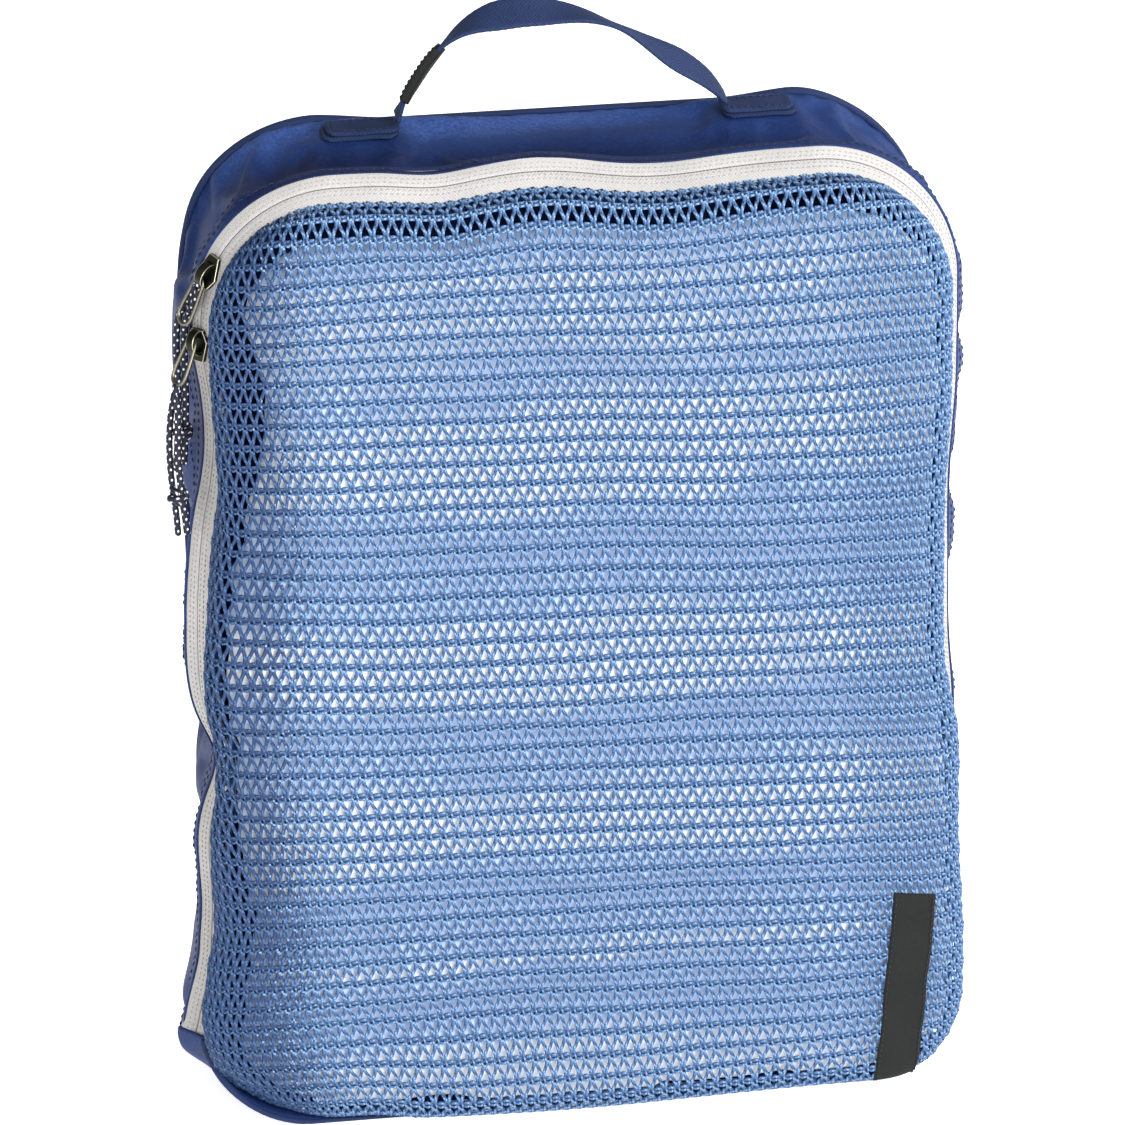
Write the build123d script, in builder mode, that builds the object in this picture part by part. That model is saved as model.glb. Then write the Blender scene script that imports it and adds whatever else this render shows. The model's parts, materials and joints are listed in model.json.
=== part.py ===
from build123d import *
import os
from math import cos, pi, radians, sin, sqrt, tan

# Packing cube, standing on its bottom gusset.
# X points right, the mesh front faces -Y, Z points up.
# The origin is on the standing surface, under the middle of the body gusset.

# Outline seen from the front
width = 262.0
height = 345.0
top_radius = 50.0
bottom_radius = 38.0

# Depths, from the back seam to the mesh front
back_y = 27.0
zip_edge_y = -24.0
rim_y = -36.4
front_y = -50.0
bottom_front_y = -48.5

# Fabric and tape
cloth = 1.2
mesh_thickness = 1.0
binding_depth = 2.8
binding_width = 4.0
gap = 0.5

# The zip is one band, sloping inward from the gusset edge to the mesh rim
band_tilt = radians(30)
band_width = 14.0
band_start = 0.5
slit = 1.0
tape_thickness = 0.7
coil_width = 2.2
coil_depth = 1.6
chain_inset = band_width / 2 * sin(band_tilt)
chain_y = zip_edge_y - band_width / 2 * cos(band_tilt)
chain_foot_z = 28.0
bottom_front_rise = 27.0

# Mesh lid
lid_inset = 7.0
lid_low_z = 3.5
lid_edge_radius = 9.0
filling_inset = 11.0
filling_back_y = -32.5
filling_front_y = -48.0
filling_low_z = 8.0
filling_edge_radius = 6.0

# Woven label on the mesh front
label_size = (15.5, 70.0, 0.6)
label_centre = (107.5, 40.0)
label_lean = 5.0

# Handle
handle_y = 12.0
webbing_width = 14.0
webbing_thickness = 1.6
handle_foot_z = height + 6.0
patch_inner_x = 55.8
patch_outer_x = 80.0
patch_thickness = 3.0
arch = [(-55.2, handle_foot_z), (-34.0, 387.0), (3.0, 390.0), (55.2, handle_foot_z)]
arch_radii = [17.0, 24.0]
tag_size = (20.0, 12.5, 1.0)
tag_along_leg = 17.0

# Sliders, pulls and cords
slider_length = 11.5
slider_width = 8.4
slider_plate = 1.6
plate_clearance = 0.35
inner_plate_top = -3.0
web_thickness = 0.5
web_length = 5.0
bail_length = 7.5
bail_width = 2.6
bail_height = 2.8
bail_wire = 1.0
pivot_height = 2.85
pivot_offset = 3.1
wire_radius = 0.55
ring_half_width = 3.45
ring_length = 17.0
upper_slider_angle = radians(25)
lower_slider_z = 289.0
lower_pull_swing = radians(28)
cord_radius = 1.2
knot_radius = 3.3

os.makedirs("parts", exist_ok=True)


def save(part, label):
    part.label = label
    export_step(part, f"parts/{label}.step")


def outline(inset, y, low_z=None):
    """The cube's outline drawn inward by inset, as a face at depth y that looks forward."""
    low = inset if low_z is None else low_z
    high = height - inset
    with BuildSketch(Plane.XZ.offset(-y)) as face:
        with Locations((0, (low + high) / 2)):
            Rectangle(width - 2 * inset, high - low)
        fillet(face.vertices().group_by(Axis.Y)[-1], top_radius - inset)
        fillet(face.vertices().group_by(Axis.Y)[0], bottom_radius - min(inset, low))
    return face.sketch


def ring_wall(outer_inset, thickness, y_back, y_front):
    """A closed wall that follows the outline."""
    with BuildPart() as wall:
        extrude(outline(outer_inset, y_back), amount=y_back - y_front)
        extrude(outline(outer_inset + thickness, y_back), amount=y_back - y_front, mode=Mode.SUBTRACT)
    return wall.part


# ---------------------------------------------------------------- body fabric
straight_top = height - top_radius
gusset_ring = ring_wall(0, cloth, back_y, zip_edge_y)
bottom_ring = ring_wall(0, cloth, back_y, bottom_front_y)

with BuildPart() as gusset_top:
    add(gusset_ring)
    with Locations((0, 0, straight_top)):
        Box(2 * width, 200, 2 * top_radius, align=(Align.CENTER, Align.CENTER, Align.MIN), mode=Mode.INTERSECT)
save(gusset_top.part, "gusset_top")

for side, name in ((-1, "gusset_left"), (1, "gusset_right")):
    with BuildPart() as gusset_side:
        add(gusset_ring)
        with Locations((side * width / 2, 0, (bottom_radius + straight_top) / 2)):
            Box(width / 2, 200, straight_top - bottom_radius, mode=Mode.INTERSECT)
    save(gusset_side.part, name)

with BuildPart() as gusset_bottom:
    add(bottom_ring)
    Box(2 * width, 200, bottom_radius, align=(Align.CENTER, Align.CENTER, Align.MIN), mode=Mode.INTERSECT)
    with Locations((0, zip_edge_y, bottom_front_rise)):
        Box(2 * width, 100, 100, align=(Align.CENTER, Align.MAX, Align.MIN), mode=Mode.SUBTRACT)
save(gusset_bottom.part, "gusset_bottom")

with BuildPart() as back_panel:
    extrude(outline(0, back_y), amount=-cloth)
save(back_panel.part, "back_panel")

save(ring_wall(0, binding_width, back_y + cloth + binding_depth, back_y + cloth), "back_binding")

with BuildPart() as hinge_seam:
    seam_length = width - 2 * bottom_radius
    with Locations((0, (front_y + bottom_front_y) / 2 + 0.75, cloth)):
        Box(seam_length, 3.0, 1.8, align=(Align.CENTER, Align.CENTER, Align.MIN))
save(hinge_seam.part, "hinge_seam_binding")


# ------------------------------------------------------------------- zip band
def band_strip(across_from, across_to, out_from, out_to):
    """A strip of the zip band swept up the left side, over the top and down the right side.

    Across is measured along the band from the gusset edge, out is measured square to its outer face.
    """
    half = width / 2
    top = height
    bend = top_radius * (1 - sqrt(0.5))
    with BuildPart() as strip:
        with BuildLine(Plane.XZ):
            left = Line((-half, chain_foot_z), (-half, top - top_radius))
            corner = ThreePointArc(left @ 1, (-half + bend, top - bend), (-half + top_radius, top))
            over = Line(corner @ 1, (half - top_radius, top))
            last = ThreePointArc(over @ 1, (half - bend, top - bend), (half, top - top_radius))
            Line(last @ 1, (half, chain_foot_z))
        with BuildSketch(Plane.XY.offset(chain_foot_z)):
            corners = [
                (across_from, out_from),
                (across_to, out_from),
                (across_to, out_to),
                (across_from, out_to),
            ]
            with BuildLine():
                Polyline(
                    *[
                        (
                            -half + a * sin(band_tilt) - o * cos(band_tilt),
                            zip_edge_y - a * cos(band_tilt) - o * sin(band_tilt),
                        )
                        for a, o in corners
                    ],
                    close=True,
                )
            make_face()
        sweep()
    return strip.part


slit_low = (band_width - slit) / 2
slit_high = (band_width + slit) / 2
under = -tape_thickness
save(band_strip(band_start, slit_low, under, 0), "zip_tape_case")
save(band_strip(slit_low - coil_width, slit_low, under - coil_depth, under), "zip_coil_case")
save(band_strip(slit_high, band_width, under, 0), "zip_tape_lid")
save(band_strip(slit_high, slit_high + coil_width, under - coil_depth, under), "zip_coil_lid")


def seam_binding(outer_inset, thickness, y_back, y_front):
    """A tape that binds the raw seam inside the cube, along the zip only."""
    with BuildPart() as binding:
        add(ring_wall(outer_inset, thickness, y_back, y_front))
        with Locations((0, 0, chain_foot_z)):
            Box(2 * width, 200, height, align=(Align.CENTER, Align.CENTER, Align.MIN), mode=Mode.INTERSECT)
    return binding.part


save(seam_binding(cloth + 0.1, 1.8, -15.5, -23.5), "seam_binding_case")
save(seam_binding(lid_inset + mesh_thickness + 0.1, 1.6, rim_y - 0.6, rim_y - 4.6), "seam_binding_lid")

# ------------------------------------------------------------------- mesh lid
with BuildPart() as mesh_panel:
    extrude(outline(lid_inset, rim_y, lid_low_z), amount=rim_y - front_y)
    fillet(mesh_panel.faces().sort_by(Axis.Y)[0].edges(), lid_edge_radius)
    rim = mesh_panel.faces().sort_by(Axis.Y)[-1]
    offset(amount=-mesh_thickness, openings=rim)
save(mesh_panel.part, "mesh_panel")

with BuildPart() as filling:
    extrude(outline(filling_inset, filling_back_y, filling_low_z), amount=filling_back_y - filling_front_y)
    fillet(filling.faces().sort_by(Axis.Y)[0].edges(), filling_edge_radius)
save(filling.part, "folded_garment")

with BuildPart() as label:
    label_plane = Plane(
        origin=(label_centre[0], front_y - 0.05, label_centre[1]),
        x_dir=(cos(radians(label_lean)), 0, -sin(radians(label_lean))),
        z_dir=(0, -1, 0),
    )
    with BuildSketch(label_plane):
        RectangleRounded(label_size[0], label_size[1], 1.0)
    extrude(amount=label_size[2])
save(label.part, "front_label")

# --------------------------------------------------------------------- handle
with BuildPart() as handle:
    with BuildSketch(Plane.XZ.offset(-handle_y)):
        with BuildLine():
            FilletPolyline(*arch, radius=arch_radii)
            offset(amount=webbing_thickness, side=Side.RIGHT)
        make_face()
    extrude(amount=webbing_width / 2, both=True)
save(handle.part, "handle_webbing")

for side, name in ((-1, "handle_patch_left"), (1, "handle_patch_right")):
    with BuildPart() as patch:
        with BuildSketch(Plane.XZ.offset(-handle_y)):
            with BuildLine():
                Polyline(
                    (side * patch_inner_x, height),
                    (side * patch_outer_x, height),
                    (side * patch_outer_x, height + patch_thickness),
                    (side * (patch_inner_x + webbing_thickness), height + patch_thickness),
                    (side * (patch_inner_x + webbing_thickness), handle_foot_z + 3.0),
                    (side * patch_inner_x, handle_foot_z + 3.0),
                    close=True,
                )
            make_face()
        extrude(amount=webbing_width / 2 + 0.6, both=True)
    save(patch.part, name)

leg = (Vector(arch[1][0], 0, arch[1][1]) - Vector(arch[0][0], 0, arch[0][1])).normalized()
leg_out = Vector(-leg.Z, 0, leg.X)
tag_origin = (
    Vector(arch[0][0], handle_y, arch[0][1])
    + leg * tag_along_leg
    + leg_out * 0.05
)
with BuildPart() as tag:
    with BuildSketch(Plane(origin=tag_origin, x_dir=leg, z_dir=leg_out)):
        Rectangle(tag_size[0], tag_size[1])
    extrude(amount=tag_size[2])
save(tag.part, "handle_tag")


# ---------------------------------------------------------- sliders and pulls
def chain_frame(angle, z):
    """The plane that touches the zip band on the left: x across the band, y up the chain, z outward.

    The angle is measured round the top left corner, from 0 where the corner starts.
    """
    across = Vector(sin(band_tilt) * cos(angle), -cos(band_tilt), -sin(band_tilt) * sin(angle))
    outward = Vector(-cos(band_tilt) * cos(angle), -sin(band_tilt), cos(band_tilt) * sin(angle))
    reach = top_radius - chain_inset
    centre_x = -width / 2 + top_radius
    point = Vector(centre_x - reach * cos(angle), chain_y, z + reach * sin(angle))
    return Plane(origin=point, x_dir=across, z_dir=outward)


def make_slider(frame, nose):
    """A slider of one piece: shield plate, web through the slit, inner plate and bail.

    The nose is 1 when it looks up the chain and -1 when it looks down.
    """
    half_length = slider_length / 2
    half_width = slider_width / 2
    shield = [
        (-half_width * 0.55, -half_length * nose),
        (half_width * 0.55, -half_length * nose),
        (half_width, half_length * 0.25 * nose),
        (half_width * 0.62, half_length * nose),
        (-half_width * 0.62, half_length * nose),
        (-half_width, half_length * 0.25 * nose),
    ]
    with BuildPart() as slider:
        with BuildSketch(frame.offset(plate_clearance)):
            with BuildLine():
                Polyline(*shield, close=True)
            make_face()
        extrude(amount=slider_plate)
        with BuildSketch(frame.offset(inner_plate_top)):
            with BuildLine():
                Polyline(*shield, close=True)
            make_face()
        extrude(amount=-1.2)
        with BuildSketch(frame.offset(inner_plate_top - 0.1)):
            Rectangle(web_thickness, web_length)
        extrude(amount=plate_clearance - inner_plate_top + 0.2)
        plate_top = plate_clearance + slider_plate
        side_plane = Plane(
            origin=frame.from_local_coords((0, nose * (pivot_offset - bail_length / 2 + 1.85), plate_top)),
            x_dir=frame.y_dir,
            z_dir=frame.x_dir,
        )
        with BuildSketch(side_plane):
            with BuildLine():
                Polyline(
                    (-bail_length / 2, -0.3),
                    (-bail_length / 2, bail_height - 1.4),
                    (-bail_length / 2 + 1.4, bail_height),
                    (bail_length / 2 - 1.4, bail_height),
                    (bail_length / 2, bail_height - 1.4),
                    (bail_length / 2, -0.3),
                    close=True,
                )
            make_face()
            with Locations((0, (bail_height - bail_wire) / 2)):
                Rectangle(bail_length - 2 * bail_wire, bail_height - bail_wire, mode=Mode.SUBTRACT)
        extrude(amount=bail_width / 2, both=True)
    return slider.part


def pull_frame(frame, nose, swing):
    """The plane of the wire pull: origin at its pivot, y back up towards the pivot, x along the pivot."""
    pivot = frame.from_local_coords((0, nose * pivot_offset, pivot_height))
    outward = frame.z_dir * cos(swing) + frame.y_dir * sin(swing)
    return Plane(origin=pivot, x_dir=frame.x_dir, z_dir=outward)


def make_pull(frame):
    """A closed wire loop that hangs from the bail."""
    r = ring_half_width
    low = -ring_length
    with BuildPart() as pull:
        with BuildLine(frame):
            down = Line((r, -r), (r, low + r))
            foot = ThreePointArc(down @ 1, frame.from_local_coords((0, low)), frame.from_local_coords((-r, low + r)))
            up = Line(foot @ 1, frame.from_local_coords((-r, -r)))
            ThreePointArc(up @ 1, frame.origin, down @ 0)
        with BuildSketch(Plane(origin=frame.from_local_coords((r, -r)), x_dir=frame.x_dir, z_dir=frame.y_dir)):
            Circle(wire_radius)
        sweep()
    return pull.part


upper_frame = chain_frame(upper_slider_angle, straight_top)
lower_frame = chain_frame(0, lower_slider_z)
upper_pull = pull_frame(upper_frame, -1, 0)
lower_pull = pull_frame(lower_frame, 1, lower_pull_swing)
save(make_slider(upper_frame, -1), "slider_upper")
save(make_slider(lower_frame, 1), "slider_lower")
save(make_pull(upper_pull), "pull_wire_upper")
save(make_pull(lower_pull), "pull_wire_lower")

# ---------------------------------------------------------------- pull cords
# Each pull has two strands of limp cord, tied together in one knot above their cut ends.
routes = {
    "cord_upper_rear": [
        (-128.6, -30.3, 310.4),
        (-129.3, -29.9, 307.1),
        (-130.5, -27.7, 303.7),
        (-133.2, -25.1, 300.6),
        (-135.1, -24.4, 295.0),
        (-135.7, -24.4, 284.5),
        (-135.4, -24.3, 270.0),
        (-136.2, -23.7, 255.6),
        (-137.4, -23.9, 241.0),
    ],
    "cord_upper_front": [
        (-127.4, -32.7, 309.8),
        (-128.5, -32.5, 306.8),
        (-129.7, -31.1, 303.4),
        (-131.4, -28.2, 299.9),
        (-132.7, -26.2, 294.0),
        (-133.1, -25.4, 283.5),
        (-133.0, -24.9, 270.0),
        (-133.6, -23.3, 256.6),
        (-134.7, -23.0, 242.6),
    ],
    "cord_lower_rear": [
        (-137.2, -34.2, 274.3),
        (-138.5, -34.3, 269.0),
        (-139.6, -34.7, 262.0),
        (-140.1, -35.0, 253.0),
        (-139.9, -35.4, 244.0),
        (-139.3, -36.0, 236.0),
        (-138.6, -36.3, 229.0),
        (-138.4, -36.1, 222.5),
    ],
    "cord_lower_front": [
        (-137.0, -37.0, 274.1),
        (-136.6, -37.4, 269.0),
        (-136.9, -37.7, 262.0),
        (-137.4, -37.9, 253.0),
        (-137.2, -38.0, 244.0),
        (-136.6, -38.3, 236.0),
        (-135.8, -38.5, 229.0),
        (-135.5, -38.3, 223.5),
    ],
}


def make_cord(points, name):
    """A round cord of straight runs and the largest tangent arcs that fit between them."""
    spots = [Vector(p) for p in points]
    runs = [b - a for a, b in zip(spots, spots[1:])]
    radii = []
    for before, after in zip(runs, runs[1:]):
        half_turn = radians(before.get_angle(after)) / 2
        radii.append(0.45 * min(before.length, after.length) / tan(half_turn))
    with BuildPart() as cord:
        with BuildLine() as route:
            FilletPolyline(*points, radius=radii)
        with BuildSketch(Plane(origin=points[0], z_dir=runs[0])):
            Circle(cord_radius)
        sweep()
    expected = pi * cord_radius**2 * route.wire().length
    print(name, "length", round(route.wire().length, 1), "radii", [round(r, 1) for r in radii])
    print(name, "volume", round(cord.part.volume, 1), "section times length", round(expected, 1))
    return cord.part


for name, points in routes.items():
    save(make_cord(points, name), name)

for name, centre in (
    ("knot_upper", (-134.9, -23.5, 255.8)),
    ("knot_lower", (-138.0, -37.0, 237.5)),
):
    with BuildPart() as knot:
        with Locations(centre):
            Sphere(knot_radius)
    save(knot.part, name)
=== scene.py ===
"""A packing cube: a soft navy case, a knitted front on a zip, two sliders with cord pulls, and a handle."""

import json
import math

import bmesh
import bpy
import numpy as np
from mathutils import Matrix, Vector
from mathutils.bvhtree import BVHTree

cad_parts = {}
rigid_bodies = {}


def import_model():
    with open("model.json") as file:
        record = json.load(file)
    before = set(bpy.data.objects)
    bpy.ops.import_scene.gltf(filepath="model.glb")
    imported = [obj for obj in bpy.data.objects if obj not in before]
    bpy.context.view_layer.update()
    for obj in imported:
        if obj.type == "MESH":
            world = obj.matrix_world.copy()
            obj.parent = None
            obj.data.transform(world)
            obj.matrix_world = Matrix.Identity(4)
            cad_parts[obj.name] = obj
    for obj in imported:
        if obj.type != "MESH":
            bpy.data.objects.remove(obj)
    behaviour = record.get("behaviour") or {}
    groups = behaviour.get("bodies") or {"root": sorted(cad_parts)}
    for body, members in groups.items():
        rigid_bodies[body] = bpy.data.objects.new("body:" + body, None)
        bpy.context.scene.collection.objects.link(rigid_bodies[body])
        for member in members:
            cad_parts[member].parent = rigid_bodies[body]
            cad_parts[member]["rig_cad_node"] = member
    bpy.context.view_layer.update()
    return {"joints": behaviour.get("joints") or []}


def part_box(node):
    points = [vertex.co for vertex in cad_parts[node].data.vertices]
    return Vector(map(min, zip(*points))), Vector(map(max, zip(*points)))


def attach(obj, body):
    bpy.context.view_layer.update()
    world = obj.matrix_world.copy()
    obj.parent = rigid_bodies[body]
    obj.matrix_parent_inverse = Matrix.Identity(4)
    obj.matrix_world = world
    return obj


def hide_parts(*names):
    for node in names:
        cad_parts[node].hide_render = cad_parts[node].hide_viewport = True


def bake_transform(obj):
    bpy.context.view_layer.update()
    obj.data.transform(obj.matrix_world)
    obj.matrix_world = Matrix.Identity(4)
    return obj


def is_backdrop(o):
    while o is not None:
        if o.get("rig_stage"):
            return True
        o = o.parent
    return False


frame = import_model()
MM = 0.001

# ---------------------------------------------------------------- sizes, read from the frame

HALF_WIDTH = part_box("back_panel")[1].x
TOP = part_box("back_panel")[1].z
BACK_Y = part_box("back_panel")[1].y
TOP_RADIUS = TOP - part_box("gusset_left")[1].z
BOTTOM_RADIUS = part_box("gusset_left")[0].z
ZIP_EDGE_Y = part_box("gusset_top")[0].y
FOOT_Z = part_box("zip_tape_case")[0].z
FOOT_FRONT_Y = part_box("gusset_bottom")[0].y
FRONT_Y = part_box("mesh_panel")[0].y
RIM_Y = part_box("mesh_panel")[1].y
NET_HALF_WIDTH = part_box("mesh_panel")[1].x
NET_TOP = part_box("mesh_panel")[1].z
NET_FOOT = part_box("mesh_panel")[0].z

ZIP_TILT = math.radians(30)
MIDDLE_Z = 0.165
CLOTH = 1.2 * MM
TAPE_THICKNESS = 0.7 * MM
LOWEST = 0.2 * MM


# ---------------------------------------------------------------- mesh helpers

def mesh_object(name, vertices, faces, uv=None):
    """An object of four-sided faces. uv has one row for each corner of each face."""
    mesh = bpy.data.meshes.new(name)
    mesh.vertices.add(len(vertices))
    mesh.vertices.foreach_set("co", np.asarray(vertices, np.float32).ravel())
    mesh.loops.add(faces.size)
    mesh.loops.foreach_set("vertex_index", faces.astype(np.int32).ravel())
    mesh.polygons.add(len(faces))
    mesh.polygons.foreach_set("loop_start", np.arange(0, faces.size, 4, dtype=np.int32))
    mesh.update(calc_edges=True)
    if uv is not None:
        mesh.uv_layers.new(name="cloth").data.foreach_set("uv", uv.astype(np.float32).ravel())
    mesh.polygons.foreach_set("use_smooth", np.ones(len(faces), bool))
    made = bpy.data.objects.new(name, mesh)
    bpy.context.scene.collection.objects.link(made)
    return made


def grid_faces(rows, columns, closed_rows, closed_columns):
    """Faces of a grid of points, with the row and column at which each begins."""
    row, column = np.meshgrid(np.arange(rows - (not closed_rows)),
                              np.arange(columns - (not closed_columns)), indexing="ij")
    row, column = row.ravel(), column.ravel()
    corners = [(0, 0), (1, 0), (1, 1), (0, 1)]
    faces = [(row + r) % rows * columns + (column + c) % columns for r, c in corners]
    return np.stack(faces, 1), row, column


def grid_piece(name, points, closed_rows=False, closed_columns=False):
    """A skin through a grid of points, with a UV map in metres: along the rows, then across them."""
    rows, columns = points.shape[:2]
    faces, row, column = grid_faces(rows, columns, closed_rows, closed_columns)
    along = np.linalg.norm(np.roll(points, -1, 0) - points, axis=2).mean(1)
    across = np.linalg.norm(np.roll(points, -1, 1) - points, axis=2).mean(0)
    along = np.concatenate([[0], np.cumsum(along)])
    across = np.concatenate([[0], np.cumsum(across)])
    corners = [(0, 0), (1, 0), (1, 1), (0, 1)]
    uv = np.stack([np.stack([along[row + r], across[column + c]], 1) for r, c in corners], 1)
    return mesh_object(name, points.reshape(-1, 3), faces, uv)


def face_outward(made, fill=False):
    """Turns the faces of a skin outward. fill first closes its open ends."""
    work = bmesh.new()
    work.from_mesh(made.data)
    if fill:
        bmesh.ops.holes_fill(work, edges=[e for e in work.edges if e.is_boundary], sides=0)
    bmesh.ops.recalc_face_normals(work, faces=work.faces)
    work.to_mesh(made.data)
    work.free()
    return made


def read_points(made):
    """Where the vertices of an object are."""
    points = np.zeros(len(made.data.vertices) * 3, np.float32)
    made.data.vertices.foreach_get("co", points)
    return points.reshape(-1, 3).astype(float)


def move_points(made, points):
    made.data.vertices.foreach_set("co", points.astype(np.float32).ravel())
    made.data.update()


def apply_modifiers(made, rounded=False):
    """Leaves the result of an object's modifiers as its mesh, smoothed once more if it is to be rounded."""
    if rounded:
        smooth = made.modifiers.new("smooth", "SUBSURF")
        smooth.levels = smooth.render_levels = 1
    shape = made.evaluated_get(bpy.context.evaluated_depsgraph_get())
    result = bpy.data.meshes.new_from_object(shape)
    made.modifiers.clear()
    made.data = result


def closed_piece(name, points):
    """A tube through rings of points, closed at both ends."""
    return face_outward(grid_piece(name, points, False, True), fill=True)


def unit(vectors):
    return vectors / np.maximum(np.linalg.norm(vectors, axis=-1, keepdims=True), 1e-9)


def tube_points(centres, radius, sides, closed=False):
    """Rings of points round a line, kept from twisting. radius may differ from point to point."""
    centres = np.asarray(centres, float)
    if closed:
        tangents = unit(np.roll(centres, -1, 0) - np.roll(centres, 1, 0))
    else:
        tangents = unit(np.gradient(centres, axis=0))
    side = np.cross(tangents[0], [0.31, 0.17, 0.93])
    angles = np.linspace(0, 2 * math.pi, sides, endpoint=False)
    radii = np.broadcast_to(radius, len(centres))
    rings = []
    for centre, tangent, size in zip(centres, tangents, radii):
        side = unit(side - tangent * np.dot(side, tangent))
        other = np.cross(tangent, side)
        rings.append(centre + size * (np.outer(np.cos(angles), side) + np.outer(np.sin(angles), other)))
    return np.array(rings)


def rod(centres, radius, sides, closed=False):
    """The points and faces of one tube, for copying many times."""
    rings = tube_points(centres, radius, sides, closed)
    faces = grid_faces(len(rings), sides, closed, True)[0]
    return rings.reshape(-1, 3), faces


def together(parts):
    """Joins several sets of points and faces into one."""
    points, faces, count = [], [], 0
    for part_points, part_faces in parts:
        points.append(part_points)
        faces.append(part_faces + count)
        count += len(part_points)
    return np.vstack(points), np.vstack(faces)


def scatter(template, places, axes):
    """Copies of one set of points and faces, at each place and along that place's three axes."""
    points, faces = template
    copies = places[:, None] + np.einsum("pk,nkj->npj", points, axes)
    shift = len(points) * np.arange(len(places))
    return copies.reshape(-1, 3), (faces[None] + shift[:, None, None]).reshape(-1, 4)


def humps(value, *each):
    """The sum of smooth bumps, each given by its height in mm, its middle and its reach."""
    return sum(height * MM * hump(value, middle, reach) for height, middle, reach in each)


def hump(value, middle, reach):
    """One at the middle, falling away on both sides of it."""
    return np.exp(-((value - middle) / reach) ** 2)


def smooth_share(value, low, high):
    """Nothing up to low, one from high on, and a smooth climb between."""
    share = np.clip((value - low) / (high - low), 0, 1)
    return share * share * (3 - 2 * share)


def run_steps(line):
    """How far along a line each of its points is."""
    return np.concatenate([[0], np.cumsum(np.linalg.norm(np.diff(line, axis=0), axis=1))])


def read_at(wanted, steps, rows):
    """Rows of three numbers, read between the steps that they belong to."""
    return np.stack([np.interp(wanted, steps, rows[:, k]) for k in range(3)], 1)


def read_share(share, rows):
    return read_at(share * (len(rows) - 1), np.arange(len(rows)), np.asarray(rows, float))


def along_line(line, pitch, start=0.0):
    """Places spaced by pitch along a line of points, and how far along it each is, from 0 to 1."""
    line = np.asarray(line, float)
    steps = run_steps(line)
    wanted = np.arange(start, steps[-1], pitch)
    return read_at(wanted, steps, line), wanted / steps[-1]


def squared_ring(turn, wide, deep, square_wide, square_deep):
    """A ring between an ellipse and a rectangle. The lower a square power is, the flatter that side."""
    across, up = np.cos(turn), np.sin(turn)
    return np.stack([wide * np.sign(across) * np.abs(across) ** square_wide,
                     deep * np.sign(up) * np.abs(up) ** square_deep], 1)


STITCH_TAPER = np.array([0.35, 0.8, 1, 1.05, 1, 0.8, 0.35])


def stitch_row(name, line, outward, pitch=2.9 * MM, length=2.1 * MM, thick=0.24 * MM):
    """A row of sewn stitches along a line. outward is the direction off the cloth at each of its points."""
    bend = np.linspace(-1, 1, 7)
    centres = np.stack([bend * length / 2, 0 * bend, thick * (0.9 - 1.5 * bend ** 2)], 1)
    template = rod(centres, thick * STITCH_TAPER, 6)
    places, share = along_line(line, pitch, pitch / 2)
    before, _ = along_line(line, pitch, pitch / 2 - 0.3 * MM)
    after, _ = along_line(line, pitch, pitch / 2 + 0.3 * MM)
    count = min(len(places), len(before), len(after))
    up = read_share(share[:count], outward)
    tangent = unit(after[:count] - before[:count])
    side = unit(np.cross(up, tangent))
    axes = np.stack([tangent, side, unit(np.cross(tangent, side))], 1)
    return mesh_object(name, *scatter(template, places[:count], axes))


def lay_on(made, line, outward):
    """Moves a line onto a piece's skin, so that what is sewn there neither floats nor sinks."""
    tree = BVHTree.FromObject(made, bpy.context.evaluated_depsgraph_get())
    reach, lift = 12 * MM, -0.04 * MM
    laid = []
    for place, off in zip(line, outward):
        place, off = Vector(place), Vector(off).normalized()
        hit = tree.ray_cast(place + reach * off, -off, 2 * reach)[0]
        laid.append(place if hit is None else hit + lift * off)
    return np.array([p[:] for p in laid])


def put(made, body, material, replaced=()):
    """Gives a piece its material and its place in the assembly."""
    if material is not None:
        made.data.materials.clear()
        made.data.materials.append(material)
    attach(made, body)
    if replaced:
        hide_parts(*replaced)
    return made


def waves(first, second, seed, scale):
    """Smooth bumps from -1 to 1 over two coordinates in metres. scale is the size of the largest."""
    draw = np.random.default_rng(seed)
    total = np.zeros(np.broadcast(first, second).shape)
    for _ in range(7):
        turn = draw.uniform(0, 2 * math.pi)
        length = scale * draw.uniform(0.45, 1.1)
        phase = draw.uniform(0, 2 * math.pi)
        along = first * math.cos(turn) + second * math.sin(turn)
        total = total + np.sin(2 * math.pi * along / length + phase)
    return total / 4.5


# ---------------------------------------------------------------- material helpers

def colour(red, green, blue):
    """A colour given from 0 to 255, as the linear values that a shader takes."""
    parts = [c / 255 for c in (red, green, blue)]
    return tuple(c / 12.92 if c <= 0.04045 else ((c + 0.055) / 1.055) ** 2.4 for c in parts) + (1.0,)


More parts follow.
